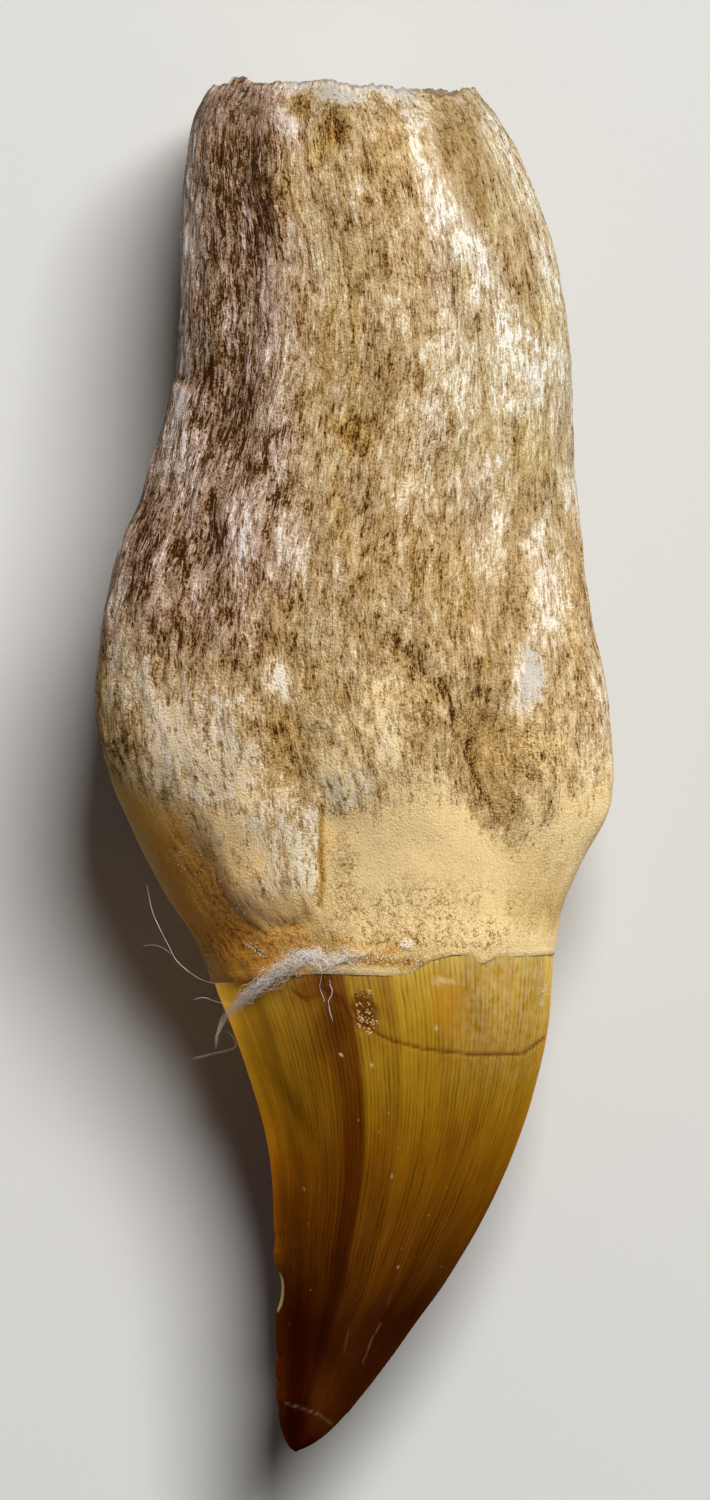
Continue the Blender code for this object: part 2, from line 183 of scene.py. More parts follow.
class Graph:
    """The nodes of one material."""

    def __init__(self, name: str, straight: bool = True) -> None:
        """Starts a material with the places that its patterns are drawn on.

        Args:
            name: the material's name.
            straight: whether they are those on the straightened tooth, in millimetres, which are stored on
                the mesh's points. If not, they are the object's own places, in metres.
        """
        self.material = bpy.data.materials.new(name)
        self.material.use_nodes = True
        self.tree = self.material.node_tree
        self.tree.nodes.clear()
        if straight:
            stored = self.node("ShaderNodeAttribute", {"attribute_name": "straight"}, {})
            self.places = stored.outputs["Vector"]
        else:
            self.places = self.node("ShaderNodeTexCoord", {}, {}).outputs["Object"]

    def node(self, kind: str, settings: Mapping[str, Any], inputs: Mapping[Any, Any]) -> Any:
        """Adds a node.

        Args:
            kind: the node's type.
            settings: its properties, set first. "stops" gives a ramp's places and colours.
            inputs: values, Values or output sockets, by the name or number of the input socket.

        Returns:
            The node.
        """
        node = self.tree.nodes.new(kind)
        for name, setting in settings.items():
            if name == "stops":
                self._set_stops(node.color_ramp, setting)
            else:
                setattr(node, name, setting)
        for key, given in inputs.items():
            source = given.socket if isinstance(given, Value) else given
            if isinstance(source, bpy.types.NodeSocket):
                self.tree.links.new(source, node.inputs[key])
            elif node.inputs[key].type == "RGBA":
                node.inputs[key].default_value = (*source, 1.0)
            else:
                node.inputs[key].default_value = source
        return node

    @staticmethod
    def _set_stops(ramp: Any, stops: Stops) -> None:
        """Gives a colour ramp its stops.

        Args:
            ramp: the ramp.
            stops: places from 0 to 1, in order, with their colours.
        """
        while len(ramp.elements) < len(stops):
            ramp.elements.new(1.0)
        for element, (place, colour) in zip(ramp.elements, stops):
            element.position = place
            element.color = (*colour, 1.0)

    def value(self, kind: str, settings: Mapping[str, Any], inputs: Mapping[Any, Any]) -> Value:
        """Adds a node and takes its first output as a number."""
        return Value(self, self.node(kind, settings, inputs).outputs[0])

    def stored(self, name: str) -> Value:
        """A number stored on the mesh's points."""
        return Value(self, self.node("ShaderNodeAttribute", {"attribute_name": name}, {}).outputs["Fac"])

    def _scaled(self, size: Size) -> Any:
        """Measures the places in features of a size.

        Args:
            size: how large a feature is, or how large along each coordinate.

        Returns:
            The socket of the measured places.
        """
        scale = tuple(1.0 / s for s in np.broadcast_to(size, 3).tolist())
        return self.node(
            "ShaderNodeVectorMath", {"operation": "MULTIPLY"}, {0: self.places, 1: scale}).outputs[0]

    def noise(self, size: Size, detail: float = 2.0, rough: float = 0.5) -> Value:
        """Noise over the places.

        Args:
            size: how large a feature is, or how large along each coordinate.
            detail: how many finer layers it has.
            rough: how strong they are.

        Returns:
            Noise from 0 to 1, mostly near the middle.
        """
        inputs = {"Vector": self._scaled(size), "Scale": 1.0, "Detail": detail, "Roughness": rough}
        return self.value("ShaderNodeTexNoise", {}, inputs)

    def grain(self, size: Size, detail: float = 2.0, rough: float = 0.5) -> Value:
        """Noise spread out to about -1 to 1. Its arguments are those of noise."""
        return (self.noise(size, detail, rough) - 0.5) * 4.0

    def cells(self, size: Size) -> Value:
        """The distance to the nearest of many points scattered over the places, in spacings of this size."""
        inputs = {"Vector": self._scaled(size), "Scale": 1.0}
        return self.value("ShaderNodeTexVoronoi", {"feature": "F1"}, inputs)

    def ramp(self, place: Value, stops: Stops) -> Any:
        """A colour read from a ramp."""
        return self.node("ShaderNodeValToRGB", {"stops": stops}, {0: place}).outputs[0]

    def grey(self, value: Value) -> Any:
        """A grey as bright as a number, which may be above 1."""
        return self.node("ShaderNodeCombineColor", {}, {0: value, 1: value, 2: value}).outputs[0]

    def mixed(self, share: Value | float, first: Any, second: Any, how: str = "MIX") -> Any:
        """A mix of two colours or colour sockets, with a share of the second, by a blend type."""
        settings = {"data_type": "RGBA", "blend_type": how, "clamp_factor": True}
        return self.node("ShaderNodeMix", settings, {0: share, 6: first, 7: second}).outputs[2]

    def times(self, colour: Any, tint: Any) -> Any:
        """A colour multiplied by another."""
        return self.mixed(1.0, colour, tint, "MULTIPLY")

    def tinted(self, share: Value | float, colour: Any, tint: Any) -> Any:
        """A colour with a share of it multiplied by a tint."""
        return self.mixed(share, colour, self.times(colour, tint))

    def finish(
        self, surface: Mapping[str, Any], bumps: Sequence[tuple[Value, float, float]]
    ) -> bpy.types.Material:
        """Adds the shader, with bumps one on another.

        Args:
            surface: the shader's inputs.
            bumps: each bump's height, strength and distance in metres.

        Returns:
            The material.
        """
        normal: dict[str, Any] = {}
        for height, strength, distance in bumps:
            inputs = {"Height": height, "Strength": strength, "Distance": distance, **normal}
            normal = {"Normal": self.node("ShaderNodeBump", {}, inputs).outputs[0]}
        shader = self.node("ShaderNodeBsdfPrincipled", {}, {**surface, **normal})
        self.node("ShaderNodeOutputMaterial", {}, {0: shader.outputs[0]})
        return self.material


# --- Meshes ---
def add_object(
    name: str, points: Array, faces: Sequence[Sequence[int]], finish: bpy.types.Material
) -> bpy.types.Object:
    """Adds a mesh to the scene.

    Args:
        name: the name of the mesh and its object.
        points: its corners, in metres.
        faces: its faces, by the numbers of their corners.
        finish: its material.

    Returns:
        The object.
    """
    mesh = bpy.data.meshes.new(name)
    mesh.from_pydata(points.tolist(), [], faces)
    mesh.materials.append(finish)
    piece = bpy.data.objects.new(name, mesh)
    bpy.context.scene.collection.objects.link(piece)
    return piece


def store(mesh: bpy.types.Mesh, name: str, values: Array) -> None:
    """Puts a number or a vector on each point of a mesh, for its shader to read."""
    kind, item = ("FLOAT_VECTOR", "vector") if values.ndim == 2 else ("FLOAT", "value")
    mesh.attributes.new(name, kind, "POINT").data.foreach_set(item, values.astype(np.float32).ravel())


# --- The tooth's form, from the frame ---
@dataclass
class Skin:
    """A closed grid of points over the tooth, rows along it and columns round it."""

    at: Array
    turn: Array
    points: Array
    spread: float = 20.0

    def normals(self) -> Array:
        """The outward direction at each point.

        Returns:
            Directions of length 1.
        """
        around = np.roll(self.points, -1, axis=1) - np.roll(self.points, 1, axis=1)
        normal = np.cross(np.gradient(self.points, axis=0), around)
        normal /= np.maximum(np.linalg.norm(normal, axis=-1, keepdims=True), TINY)
        outward = self.points - self.points.mean(axis=(0, 1))
        return normal * math.copysign(1.0, np.sum(normal * outward, axis=-1).mean())

    def raise_by(self, height: Array) -> None:
        """Moves each point out by its height, and none below the surface that the tooth rests on."""
        self.points = self.points + self.normals() * height[..., None]
        self.points[..., 2] = np.maximum(self.points[..., 2], 0.0)

    def straight(self) -> Array:
        """The points' places on a straight cylinder, so that grain drawn there runs along the tooth."""
        turn = np.broadcast_to(self.turn, self.at.shape)
        return np.stack([self.spread * np.cos(turn), self.at, self.spread * np.sin(turn)], axis=-1)

    def upper(self) -> Array:
        """1 on the upper face, 0 underneath, and a blend between them on the sides."""
        return smoothstep(-0.25, 0.10, np.broadcast_to(np.sin(self.turn), self.at.shape))

    def to_object(
        self, name: str, poles: Sequence[Array], stored: Mapping[str, Array], finish: bpy.types.Material
    ) -> bpy.types.Object:
        """Makes the mesh.

        Args:
            name: the object's name.
            poles: the points that close the first and the last row.
            stored: numbers or vectors for each point, by the name that shaders read them by.
            finish: the mesh's material.

        Returns:
            The object.
        """
        rows, columns = self.at.shape
        points = np.concatenate([self.points.reshape(-1, 3), poles[0][None], poles[1][None]]) * MM
        index = np.arange(rows * columns).reshape(rows, columns)
        after = np.roll(index, -1, axis=1)
        faces = np.stack([index[:-1], after[:-1], after[1:], index[1:]], axis=-1).reshape(-1, 4).tolist()
        faces += [(rows * columns, b, a) for a, b in zip(index[0], after[0])]
        faces += [(rows * columns + 1, a, b) for a, b in zip(index[-1], after[-1])]
        piece = add_object(name, points, faces, finish)
        for kind, values in stored.items():
            ends = [values[0].mean(axis=0, keepdims=True), values[-1].mean(axis=0, keepdims=True)]
            store(piece.data, kind, np.concatenate([values.reshape(-1, *values.shape[2:]), *ends]))
        self._draw_map(piece.data)
        piece.data.shade_smooth()
        return piece

    def _draw_map(self, mesh: bpy.types.Mesh) -> None:
        """Lays the grid out flat as the mesh's map, with its seam at the first column.

        Args:
            mesh: the skin's mesh.
        """
        rows, columns = self.at.shape
        steps = np.linalg.norm(np.diff(self.points, axis=0), axis=-1).mean(axis=1)
        run = np.concatenate([[0.0], np.cumsum(steps)]) + steps[0]
        down = run / (run[-1] + steps[-1])
        index = np.empty(len(mesh.loops), np.int32)
        mesh.loops.foreach_get("vertex_index", index)
        row, column = np.divmod(index, columns)
        starts = np.array([face.loop_start for face in mesh.polygons])
        widest = np.repeat(np.maximum.reduceat(column, starts), np.diff([*starts, len(index)]))
        grid = row < rows
        u = np.where(grid & (column == 0) & (widest > 1), columns, column + 0.5 * ~grid) / columns
        v = np.where(grid, down[np.minimum(row, rows - 1)], np.where(index == rows * columns, 0.0, 1.0))
        layer = mesh.uv_layers.new(name="OFBake")
        layer.uv.foreach_set("vector", np.stack([u, v], axis=1).astype(np.float32).ravel())


class ToothForm:
    """The shape of the frame's tooth, as radii round its own middle line."""

    step_height = 0.4
    edge_mean, edge_swing, edge_rise = 49.0, 1.4, 0.4
    outside = 45.0
    rim_from, rim_share = 133.5, 0.90
    sections = ((0.15, 4.0, 20), (4.5, 135.5, 200))
    middle_blur = 1.5

    def __init__(self, node: bpy.types.Object) -> None:
        """Reads the solid's mesh, and finds the middle of its cross-sections.

        Args:
            node: the frame's tooth.
        """
        mesh = node.data
        corners = np.empty(len(mesh.vertices) * 3, np.float32)
        mesh.vertices.foreach_get("co", corners)
        self.corners = corners.reshape(-1, 3).astype(float) / MM
        mesh.calc_loop_triangles()
        sides = np.empty(len(mesh.loop_triangles) * 3, np.int32)
        mesh.loop_triangles.foreach_get("vertices", sides)
        self.sides = sides.reshape(-1, 3)
        self.surface = BVHTree.FromPolygons(self.corners.tolist(), self.sides.tolist())
        self.tip = float(self.corners[:, 1].min())
        self.length = float(self.corners[:, 1].max()) - self.tip
        self.stations = np.concatenate([np.linspace(*span) for span in self.sections])
        boxes = np.array([self._section_box(at) for at in self.stations])
        self.middles = blurred((boxes[:, :2] + boxes[:, 2:]) / 2, self.middle_blur, 0, closed=False)

    def _section_box(self, at: float) -> tuple[float, ...]:
        """The box round a cross-section.

        Args:
            at: its distance from the tip.

        Returns:
            Its lowest X and Z, and its highest X and Z.
        """
        level = self.tip + at
        triangles = self.corners[self.sides]
        y = triangles[:, :, 1]
        crossing = triangles[(y.min(axis=1) < level) & (y.max(axis=1) > level)]
        hits = []
        for a, b in ((0, 1), (1, 2), (2, 0)):
            start, end = crossing[:, a], crossing[:, b]
            run = end[:, 1] - start[:, 1]
            share = (level - start[:, 1]) / np.where(np.abs(run) < TINY, TINY, run)
            inside = (share >= 0) & (share <= 1)
            hits.append((start + (end - start) * share[:, None])[inside][:, [0, 2]])
        section = np.concatenate(hits)
        return (*section.min(axis=0), *section.max(axis=0))

    def middle(self, at: Array) -> tuple[Array, Array]:
        """X and Z of the middle line."""
        return tuple(np.interp(at, self.stations, self.middles[:, i]) for i in (0, 1))

    def enamel_edge(self, turn: Array) -> Array:
        """Where the solid's own step between collar and crown lies."""
        swing = self.edge_swing * np.cos(turn) + self.edge_rise * np.sin(turn)
        return self.edge_mean + swing + 0.3 * np.sin(3 * turn + 1.0)

    def _measured(self, at: Array, turn: Array) -> Array:
        """The distance from the middle line to the outermost surface.

        Args:
            at: distances from the tip, rows by columns.
            turn: the turn of each column.

        Returns:
            Distances, rows by columns, not a number beyond the tooth.
        """
        x, z = self.middle(at)
        found = np.full(at.shape, np.nan)
        ways = [Vector((math.cos(a), 0.0, math.sin(a))) for a in turn]
        for row, column in np.ndindex(at.shape):
            middle = Vector((x[row, column], at[row, column] + self.tip, z[row, column]))
            distance = self.surface.ray_cast(middle + ways[column] * self.outside, -ways[column])[3]
            if distance is not None:
                found[row, column] = self.outside - distance
        return found

    def radii(self, at: Array, turn: Array) -> Array:
        """How far the surface is from the middle line, without the solid's step at the enamel's edge.

        Args:
            at: distances from the tip, rows by columns.
            turn: the turn of each column.

        Returns:
            Distances, rows by columns, as if the whole tooth were root.
        """
        found = self._measured(at, turn)
        for before, row in zip(found, found[1:]):
            gaps = np.isnan(row) | (row < 0.5 * before)
            row[gaps] = before[gaps]
        return found + self.step_height * smoothstep(0.5, -0.5, at - self.enamel_edge(turn))

    def rim(self, turn: Array) -> Array:
        """Where the side ends and the broken end's face begins.

        Args:
            turn: the turn of each column.

        Returns:
            The rim's distance from the tip in each column.
        """
        levels = np.arange(self.rim_from, self.length + 0.5, 0.1)
        found = self._measured(np.repeat(levels[:, None], len(turn), axis=1), turn)
        whole = np.nan_to_num(found) >= self.rim_share * found[0]
        last = np.where(whole.all(axis=0), len(levels) - 1, np.argmin(whole, axis=0) - 1)
        return blurred(levels[np.maximum(last, 0)], len(turn) / 130, 0, closed=True)

    def points(self, at: Array, turn: Array, radius: Array) -> Array:
        """The points at these radii round the middle line."""
        x, z = self.middle(at)
        return np.stack([x + radius * np.cos(turn), at + self.tip, z + radius * np.sin(turn)], axis=-1)

    def end_height(self, x: float, z: float) -> float:
        """Y of the broken end's face at a place on it.

        Args:
            x: the place's X.
            z: the place's Z.

        Returns:
            Its Y, or that of the farthest point where there is no face.
        """
        start = Vector((x, self.tip + self.length + 5.0, z))
        hit = self.surface.ray_cast(start, Vector((0.0, -1.0, 0.0)))[0]
        return hit.y if hit else self.tip + self.length


class Top:
    """What the finished root and crown show from above, in metres, for loose things to lie on."""

    above = 0.2

    def __init__(self, carriers: Sequence[bpy.types.Object]) -> None:
        """Reads the meshes of the pieces.

        Args:
            carriers: the root and the crown.
        """
        graph = bpy.context.evaluated_depsgraph_get()
        self.surfaces = [BVHTree.FromObject(piece, graph) for piece in carriers]
        self.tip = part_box("tooth")[0].y

    def under(self, x: float, y: float) -> tuple[Vector, Vector] | None:
        """The highest place at X and Y and the surface's direction there, or nothing off the tooth."""
        hits = [surface.ray_cast(Vector((x, y, self.above)), DOWN)[:2] for surface in self.surfaces]
        return max((hit for hit in hits if hit[0] is not None), key=lambda hit: hit[0].z, default=None)


# --- Marks ---
@dataclass(frozen=True)
class Patch:
    """An oval mark on the tooth's upper face, leaning by degrees towards +X at its root end."""

    x: float
    at: float
    half_width: float
    half_length: float
    strength: float = 1.0
    lean: float = 0.0

    def mask(self, x: Array, at: Array, ragged: Array | float, softness: float = 0.35) -> Array:
        """How fully each place lies in the mark.

        Args:
            x: the places' X.
            at: their distance from the tip.
            ragged: how far each place is pushed out of or into the mark, in shares of its size.
            softness: how wide its edge is, in shares of its size.

        Returns:
            Numbers from 0 to the mark's strength.
        """
        lean = math.radians(self.lean)
        dx, dy = x - self.x, at - self.at
        across = (dx * math.cos(lean) - dy * math.sin(lean)) / self.half_width
        along = (dx * math.sin(lean) + dy * math.cos(lean)) / self.half_length
        return self.strength * smoothstep(1 + softness, 1 - softness, np.hypot(across, along) + ragged)


@dataclass(frozen=True)
class Trace:
    """A line on the tooth's upper face through places given as X and distance from the tip."""

    places: Rows
    half_width: float
    strength: float = 1.0

    def mask(self, x: Array, at: Array) -> Array:
        """How near each place is to the line.

        Args:
            x: the places' X.
            at: their distance from the tip.

        Returns:
            Numbers from 0 to the line's strength.
        """
        nearest = np.full(x.shape, np.inf)
        for (x0, at0), (x1, at1) in zip(self.places, self.places[1:]):
            run_x, run_at = x1 - x0, at1 - at0
            t = np.clip(((x - x0) * run_x + (at - at0) * run_at) / (run_x**2 + run_at**2), 0, 1)
            nearest = np.minimum(nearest, np.hypot(x - x0 - t * run_x, at - at0 - t * run_at))
        return self.strength * np.exp(-((nearest / self.half_width) ** 2))


def ovals(*rows: tuple[float, ...]) -> tuple[Patch, ...]:
    """Oval marks, each given as X, at, half width, half length, and where it has them strength and lean."""
    return tuple(Patch(*row) for row in rows)


def most(*masks: Array) -> Array:
    """The strongest of several masks at each place."""
    return np.maximum.reduce(masks)


def within(marks: Sequence[Patch | Trace], *places: Array | float) -> Array:
    """The strongest of several marks at each place, given as their masks take it."""
    return most(*(mark.mask(*places) for mark in marks))


# --- Finishes ---
@dataclass(frozen=True)
class BoneFinish:
    """Weathered fossil bone: fibres from dark brown to chalk, sandstone where it is covered, and some painted
    light and shade.
    """

    tones: Stops = (
        (0.00, (0.060, 0.020, 0.003)), (0.12, (0.150, 0.062, 0.012)), (0.27, (0.262, 0.144, 0.042)),
        (0.42, (0.386, 0.240, 0.088)), (0.52, (0.455, 0.306, 0.130)), (0.62, (0.525, 0.372, 0.176)),
        (0.75, (0.618, 0.460, 0.250)), (0.86, (0.715, 0.580, 0.368)), (0.95, (0.800, 0.705, 0.525)),
        (1.00, (0.870, 0.810, 0.680)),
    )
    sand_tones: Stops = (
        (0.00, (0.240, 0.105, 0.016)), (0.25, (0.500, 0.320, 0.095)), (0.50, (0.780, 0.590, 0.275)),
        (0.62, (0.865, 0.675, 0.345)), (1.00, (0.945, 0.775, 0.440)),
    )
    cool: Colour = (0.98, 1.0, 1.70)
    warm: Colour = (1.00, 0.915, 0.62)
    chalk: Colour = (0.620, 0.580, 0.525)
    ruddy: Colour = (1.03, 0.87, 0.70)
    fresh: Colour = (0.965, 1.025, 1.04)
    rust_and_shade_warmth: Colour = (1.00, 0.70, 0.19)
    bone_tone: float = 0.535
    sand_tone: float = 0.645
    fibre_bump: float = 0.00018
    grit_bump: float = 0.00008

    def _sandy(self, g: Graph, relief: Value, grit: Value) -> Any:
        """The sandstone's colour.

        Args:
            g: the material's graph.
            relief: how far each place stands out, from about -1 to 1.
            grit: fine grain, from about -1 to 1.

        Returns:
            The colour.
        """
        drift = g.grain((2.6, 3.2, 2.6), 4.0, 0.6)
        loose = g.stored("grit")
        wander = g.grain((1.1, 0.75, 1.1), 3.0, 0.6)
        fissures = (wander * wander).step(0.022, 0.002)
        fissures = fissures * (loose * 1.2 + drift * 0.9 + grit * 0.5).step(0.0, 0.5)
        dots = g.cells(1.5).step(0.105, 0.055)
        # Relief lightens what stands out and darkens hollows: painted shade.
        tone = self.sand_tone + grit * (0.20 + loose * 0.24) + drift * 0.10 + relief * (0.26 + loose * 0.5)
        tone = tone - fissures * (0.30 + loose * 0.12) - dots * 0.42 - g.stored("umber") * 0.44
        sandy = g.ramp(tone.clamped(), self.sand_tones)
        # Rust stains and painted warm shade tint the sand orange.
        return g.tinted((g.stored("rust") * 1.3 - 0.2 + drift * 0.3).clamped(), sandy, self.rust_and_shade_warmth)

    def material(self) -> bpy.types.Material:
        """Draws the finish on the grid's straightened places and its stored masks.

        Returns:
            The material.
        """
        g = Graph("fossil_bone")
        relief, sand, film, dirt_and_shade, polish, bluish_tint_and_shade, ruddy = (
            g.stored(name) for name in ("relief", "sand", "film", "umber", "polish", "cool", "ruddy"))
        fibre = g.grain((0.27, 1.1, 0.27), 2.0, 0.6)
        thread = g.grain((0.55, 4.2, 0.55), 3.0, 0.6)
        vein = g.grain((0.85, 5.5, 0.85), 3.0, 0.6)
        mottle = g.grain((1.1, 1.5, 1.1), 5.0, 0.70)
        blotch = g.grain((5.0, 7.0, 5.0), 3.0)
        patchy = g.grain((1.9, 5.0, 1.9), 4.0, 0.62)
        grit = g.grain((0.20, 0.24, 0.20), 3.0, 0.65)

        # Painted highlight and painted shadow along the fibres' ridges.
        painted_ridge_light, painted_ridge_shadow = (vein * vein).step(0.020, 0.0), ((vein - 0.24) * (vein - 0.24)).step(0.016, 0.0)
        detail = fibre * 0.30 + thread * (bluish_tint_and_shade * 0.14 + film * 0.06 + 0.16)
        # Relief lightens what stands out and darkens pits and creases: painted shade in hollows.
        detail = detail + mottle * 0.30 + grit * 0.38 + relief * 0.20
        detail = detail + (painted_ridge_light * 0.26 - painted_ridge_shadow * 0.30) * (bluish_tint_and_shade * 0.6 + 0.5)
        detail = detail * (1.0 + dirt_and_shade * 0.7) * (1.0 - polish * 0.5)
        detail = detail - detail.clamped() * 0.40

        flakes = (film + mottle * 0.55 + fibre * 0.2 + thread * 0.2 - 0.80).step(0.0, 0.12)
        plates = (patchy + film * 0.4 - dirt_and_shade * 0.3).step(-0.05, 0.12)
        specks = g.cells((0.75, 0.95, 0.75)).step(0.27, 0.15)
        specks = specks * (grit * 0.6 - mottle - blotch * 0.4).step(-0.1, 0.3)
        splits = g.cells((0.60, 2.6, 0.60)).step(0.22, 0.10)
        splits = splits * (0.1 - mottle - film * 0.2).step(-0.1, 0.4)
        # Dark brown stains and painted shade darken the tone.
        tone = self.bone_tone - polish * 0.04 + film * 0.27 - dirt_and_shade * 0.44 + blotch * 0.11
        tone = tone + detail * (1.0 - flakes * 0.35) + flakes * 0.12 + plates * 0.14
        tone = tone - specks * 0.40 - splits * 0.26
        colour = g.ramp(tone.clamped(), self.tones)

        # The bluish tint is partly painted cool shade.
        bluish_tint_and_shade = (bluish_tint_and_shade + thread * 0.3).clamped() * tone.step(0.08, 0.45)
        bluish_tint_and_shade = bluish_tint_and_shade * (1.0 - tone.step(0.55, 0.95) * 0.75)
        colour = g.tinted(bluish_tint_and_shade, colour, self.cool)
        colour = g.tinted((g.stored("ochre") + mottle * 0.3 - film * 0.3).clamped(), colour, self.warm)
        chalky = (g.stored("chalk") + mottle * 0.8 + grit * 0.5 + fibre * 0.2).step(0.58, 0.76)
        colour = g.mixed(chalky * 0.9, colour, self.chalk)
        covered = (sand + mottle * 0.34 + thread * 0.20 + grit * 0.20).step(0.22, 0.78)
        colour = g.mixed(covered, colour, self._sandy(g, relief, grit))
        colour = g.tinted(ruddy.clamped(), colour, self.ruddy)
        colour = g.tinted((ruddy * -1.0).clamped(), colour, self.fresh)
        surface = {
            "Base Color": colour, "Roughness": 0.93 - polish * 0.28, "Diffuse Roughness": 1.0,
            "Specular IOR Level": 0.12,
        }
        bumps = [(detail * (1.0 - sand), 0.55, self.fibre_bump), (grit, 0.7, self.grit_bump)]
        return g.finish(surface, bumps)


@dataclass(frozen=True)
class EnamelFinish:
    """Brown fossil enamel: olive at its edge, near black at the tip, and finely lined along the crown."""

    lengthwise: Stops = (
        (0.00, (0.050, 0.009, 0.001)), (0.07, (0.055, 0.010, 0.001)), (0.11, (0.060, 0.012, 0.001)),
        (0.26, (0.050, 0.0105, 0.001)), (0.34, (0.080, 0.0215, 0.0013)), (0.41, (0.110, 0.032, 0.0016)),
        (0.49, (0.144, 0.047, 0.0018)), (0.57, (0.200, 0.075, 0.0026)), (0.64, (0.240, 0.106, 0.0040)),
        (0.70, (0.280, 0.138, 0.006)), (0.76, (0.322, 0.164, 0.009)), (0.82, (0.366, 0.196, 0.013)),
        (0.88, (0.436, 0.248, 0.021)), (0.95, (0.522, 0.335, 0.055)), (1.00, (0.568, 0.395, 0.095)),
    )
    depth: Colour = (1.0, 0.62, 0.80)
    russet: Colour = (1.0, 0.85, 0.90)
    olive: Colour = (0.97, 1.15, 1.20)
    line: Colour = (0.020, 0.006, 0.001)
    split: Colour = (0.085, 0.020, 0.003)
    stain: Colour = (0.44, 0.185, 0.008)
    pale: Colour = (0.66, 0.52, 0.30)
    bare: Colour = (0.62, 0.47, 0.17)
    lines: tuple[float, float] = (165.0, 105.0)
    line_bump: float = 0.00004

    def _striae(self, g: Graph) -> Value:
        """Fine growth lines along the crown, fewer near its edge and weaker on its left.

        Args:
            g: the material's graph.

        Returns:
            Their height, from about -1 to 1.
        """
        x, _, z = g.node("ShaderNodeSeparateXYZ", {}, {"Vector": g.places}).outputs
        turn = g.value("ShaderNodeMath", {"operation": "ARCTAN2"}, {0: z, 1: x})
        bend = g.grain((1.6, 5.0, 1.6)) * 2.0
        near, far = (
            g.value("ShaderNodeMath", {"operation": "SINE"}, {0: turn * n + bend}) for n in self.lines)
        low = g.stored("along").step(0.62, 0.48)
        fade = g.grain((0.9, 2.6, 0.9))
        striae = (near * (1.0 - low) + far * low) * (0.75 + fade * 0.4)
        striae = striae + g.grain((0.19, 6.0, 0.19), 2.0, 0.55) * 0.35
        return striae * (turn.step(2.9, 2.0) * 0.65 + 0.35)

    def material(self) -> bpy.types.Material:
        """Draws the finish on the crown's stored masks and its places along and round the crown.

        Returns:
            The material.
        """
        g = Graph("fossil_enamel")
        clouds = g.grain((3.5, 9.0, 3.5), 3.0)
        streaks = g.grain((0.60, 20.0, 0.60), 2.0, 0.6)
        ribs = g.grain((0.42, 12.0, 0.42))
        broken = g.grain((1.0, 3.0, 1.0))
        haze = g.grain((0.7, 0.9, 0.7), 3.0, 0.6)
        striae = self._striae(g)
        pale, bare = g.stored("pale"), g.stored("bare")

        colour = g.ramp((g.stored("along") + clouds * 0.025).clamped(), self.lengthwise)
        # The stored tone carries painted light on the keels and painted shade in a band along the upper face.
        tone = g.stored("tone") * (1.0 + streaks * 0.09 + clouds * 0.12 + haze * 0.06)
        colour = g.times(colour, g.grey(tone))
        colour = g.tinted(((1.0 - tone) * 1.6).clamped(), colour, self.depth)
        colour = g.times(colour, g.mixed(g.stored("olive"), self.russet, self.olive))
        colour = g.times(colour, g.grey(1.0 - striae * 0.12 - ribs * 0.12 + broken * 0.05))
        colour = g.mixed((striae + ribs * 0.4 - broken * 0.4).step(0.35, 1.2) * 0.30, colour, self.line)
        colour = g.mixed((g.stored("stain") * (0.85 + streaks * 0.35)).clamped() * 0.62, colour, self.stain)
        # Pale scars and scratches, and painted sheen on the right of the crown's base.
        colour = g.mixed((pale * (0.8 + haze * 1.2)).clamped(), colour, self.pale)
        colour = g.mixed(bare, colour, self.bare)
        colour = g.mixed(g.stored("crack") * 0.9, colour, self.split)
        motes = g.cells((2.6, 3.4, 2.6)).step(0.045, 0.02)
        colour = g.mixed(motes * 0.4, colour, self.pale)
        rough = 0.40 + clouds * 0.05 + (pale + bare).clamped() * 0.4
        surface = {"Base Color": colour, "Roughness": rough, "Specular IOR Level": 0.0}
        return g.finish(surface, [(striae, 0.25, self.line_bump)])


@dataclass(frozen=True)
class GritFinish:
    """Loose sand grains and crumbs, each with a tone of its own."""

    tones: Stops = (
        (0.0, (0.22, 0.11, 0.03)), (0.35, (0.52, 0.33, 0.11)), (0.7, (0.78, 0.60, 0.32)),
        (1.0, (0.88, 0.82, 0.72)),
    )
    bump: float = 0.00003

    def material(self) -> bpy.types.Material:
        """Colours each grain by its stored tone.

        Returns:
            The material.
        """
        g = Graph("sand_grains")
        cloud = g.noise(0.08, 2.0, 0.6)
        colour = g.ramp((g.stored("tone") + (cloud - 0.5) * 0.25).clamped(), self.tones)
        surface = {"Base Color": colour, "Roughness": 0.55 + (cloud - 0.5) * 0.3}
        return g.finish(surface, [(cloud, 0.2, self.bump)])


@dataclass(frozen=True)
class CottonFinish:
    """White lint, dusty in places."""

    clean: Colour = (1.0, 0.97, 0.91)
    dusty: Colour = (0.98, 0.88, 0.74)

    def material(self) -> bpy.types.Material:
        """Mixes clean and dusty fibre.

        Returns:
            The material.
        """
        g = Graph("cotton_fibre", straight=False)
        dust = g.noise(0.0015).step(0.45, 0.75)
        colour = g.mixed(dust * 0.7, self.clean, self.dusty)
        return g.finish({"Base Color": colour, "Roughness": 0.85 + dust * 0.1, "Sheen Weight": 0.4}, [])


@dataclass(frozen=True)
class FloorFinish:
    """A plain pale surface."""

    colour: Colour = (0.645, 0.652, 0.630)
    unevenness: float = 0.985

    def material(self) -> bpy.types.Material:
        """Gives the surface a faint unevenness.

        Returns:
            The material.
        """
        g = Graph("pale_floor", straight=False)
        cloud = g.noise(0.05, 3.0)
        colour = g.mixed(cloud, self.colour, tuple(c * self.unevenness for c in self.colour))
        return g.finish({"Base Color": colour, "Roughness": 0.9, "Specular IOR Level": 0.2}, [])


# --- The pieces ---
def columns_round(count: int) -> Array:
    """The turns of a grid's columns. They start underneath, and one lies on each side of the tooth."""
    return 2 * math.pi * (np.arange(count) / count) - math.pi / 2


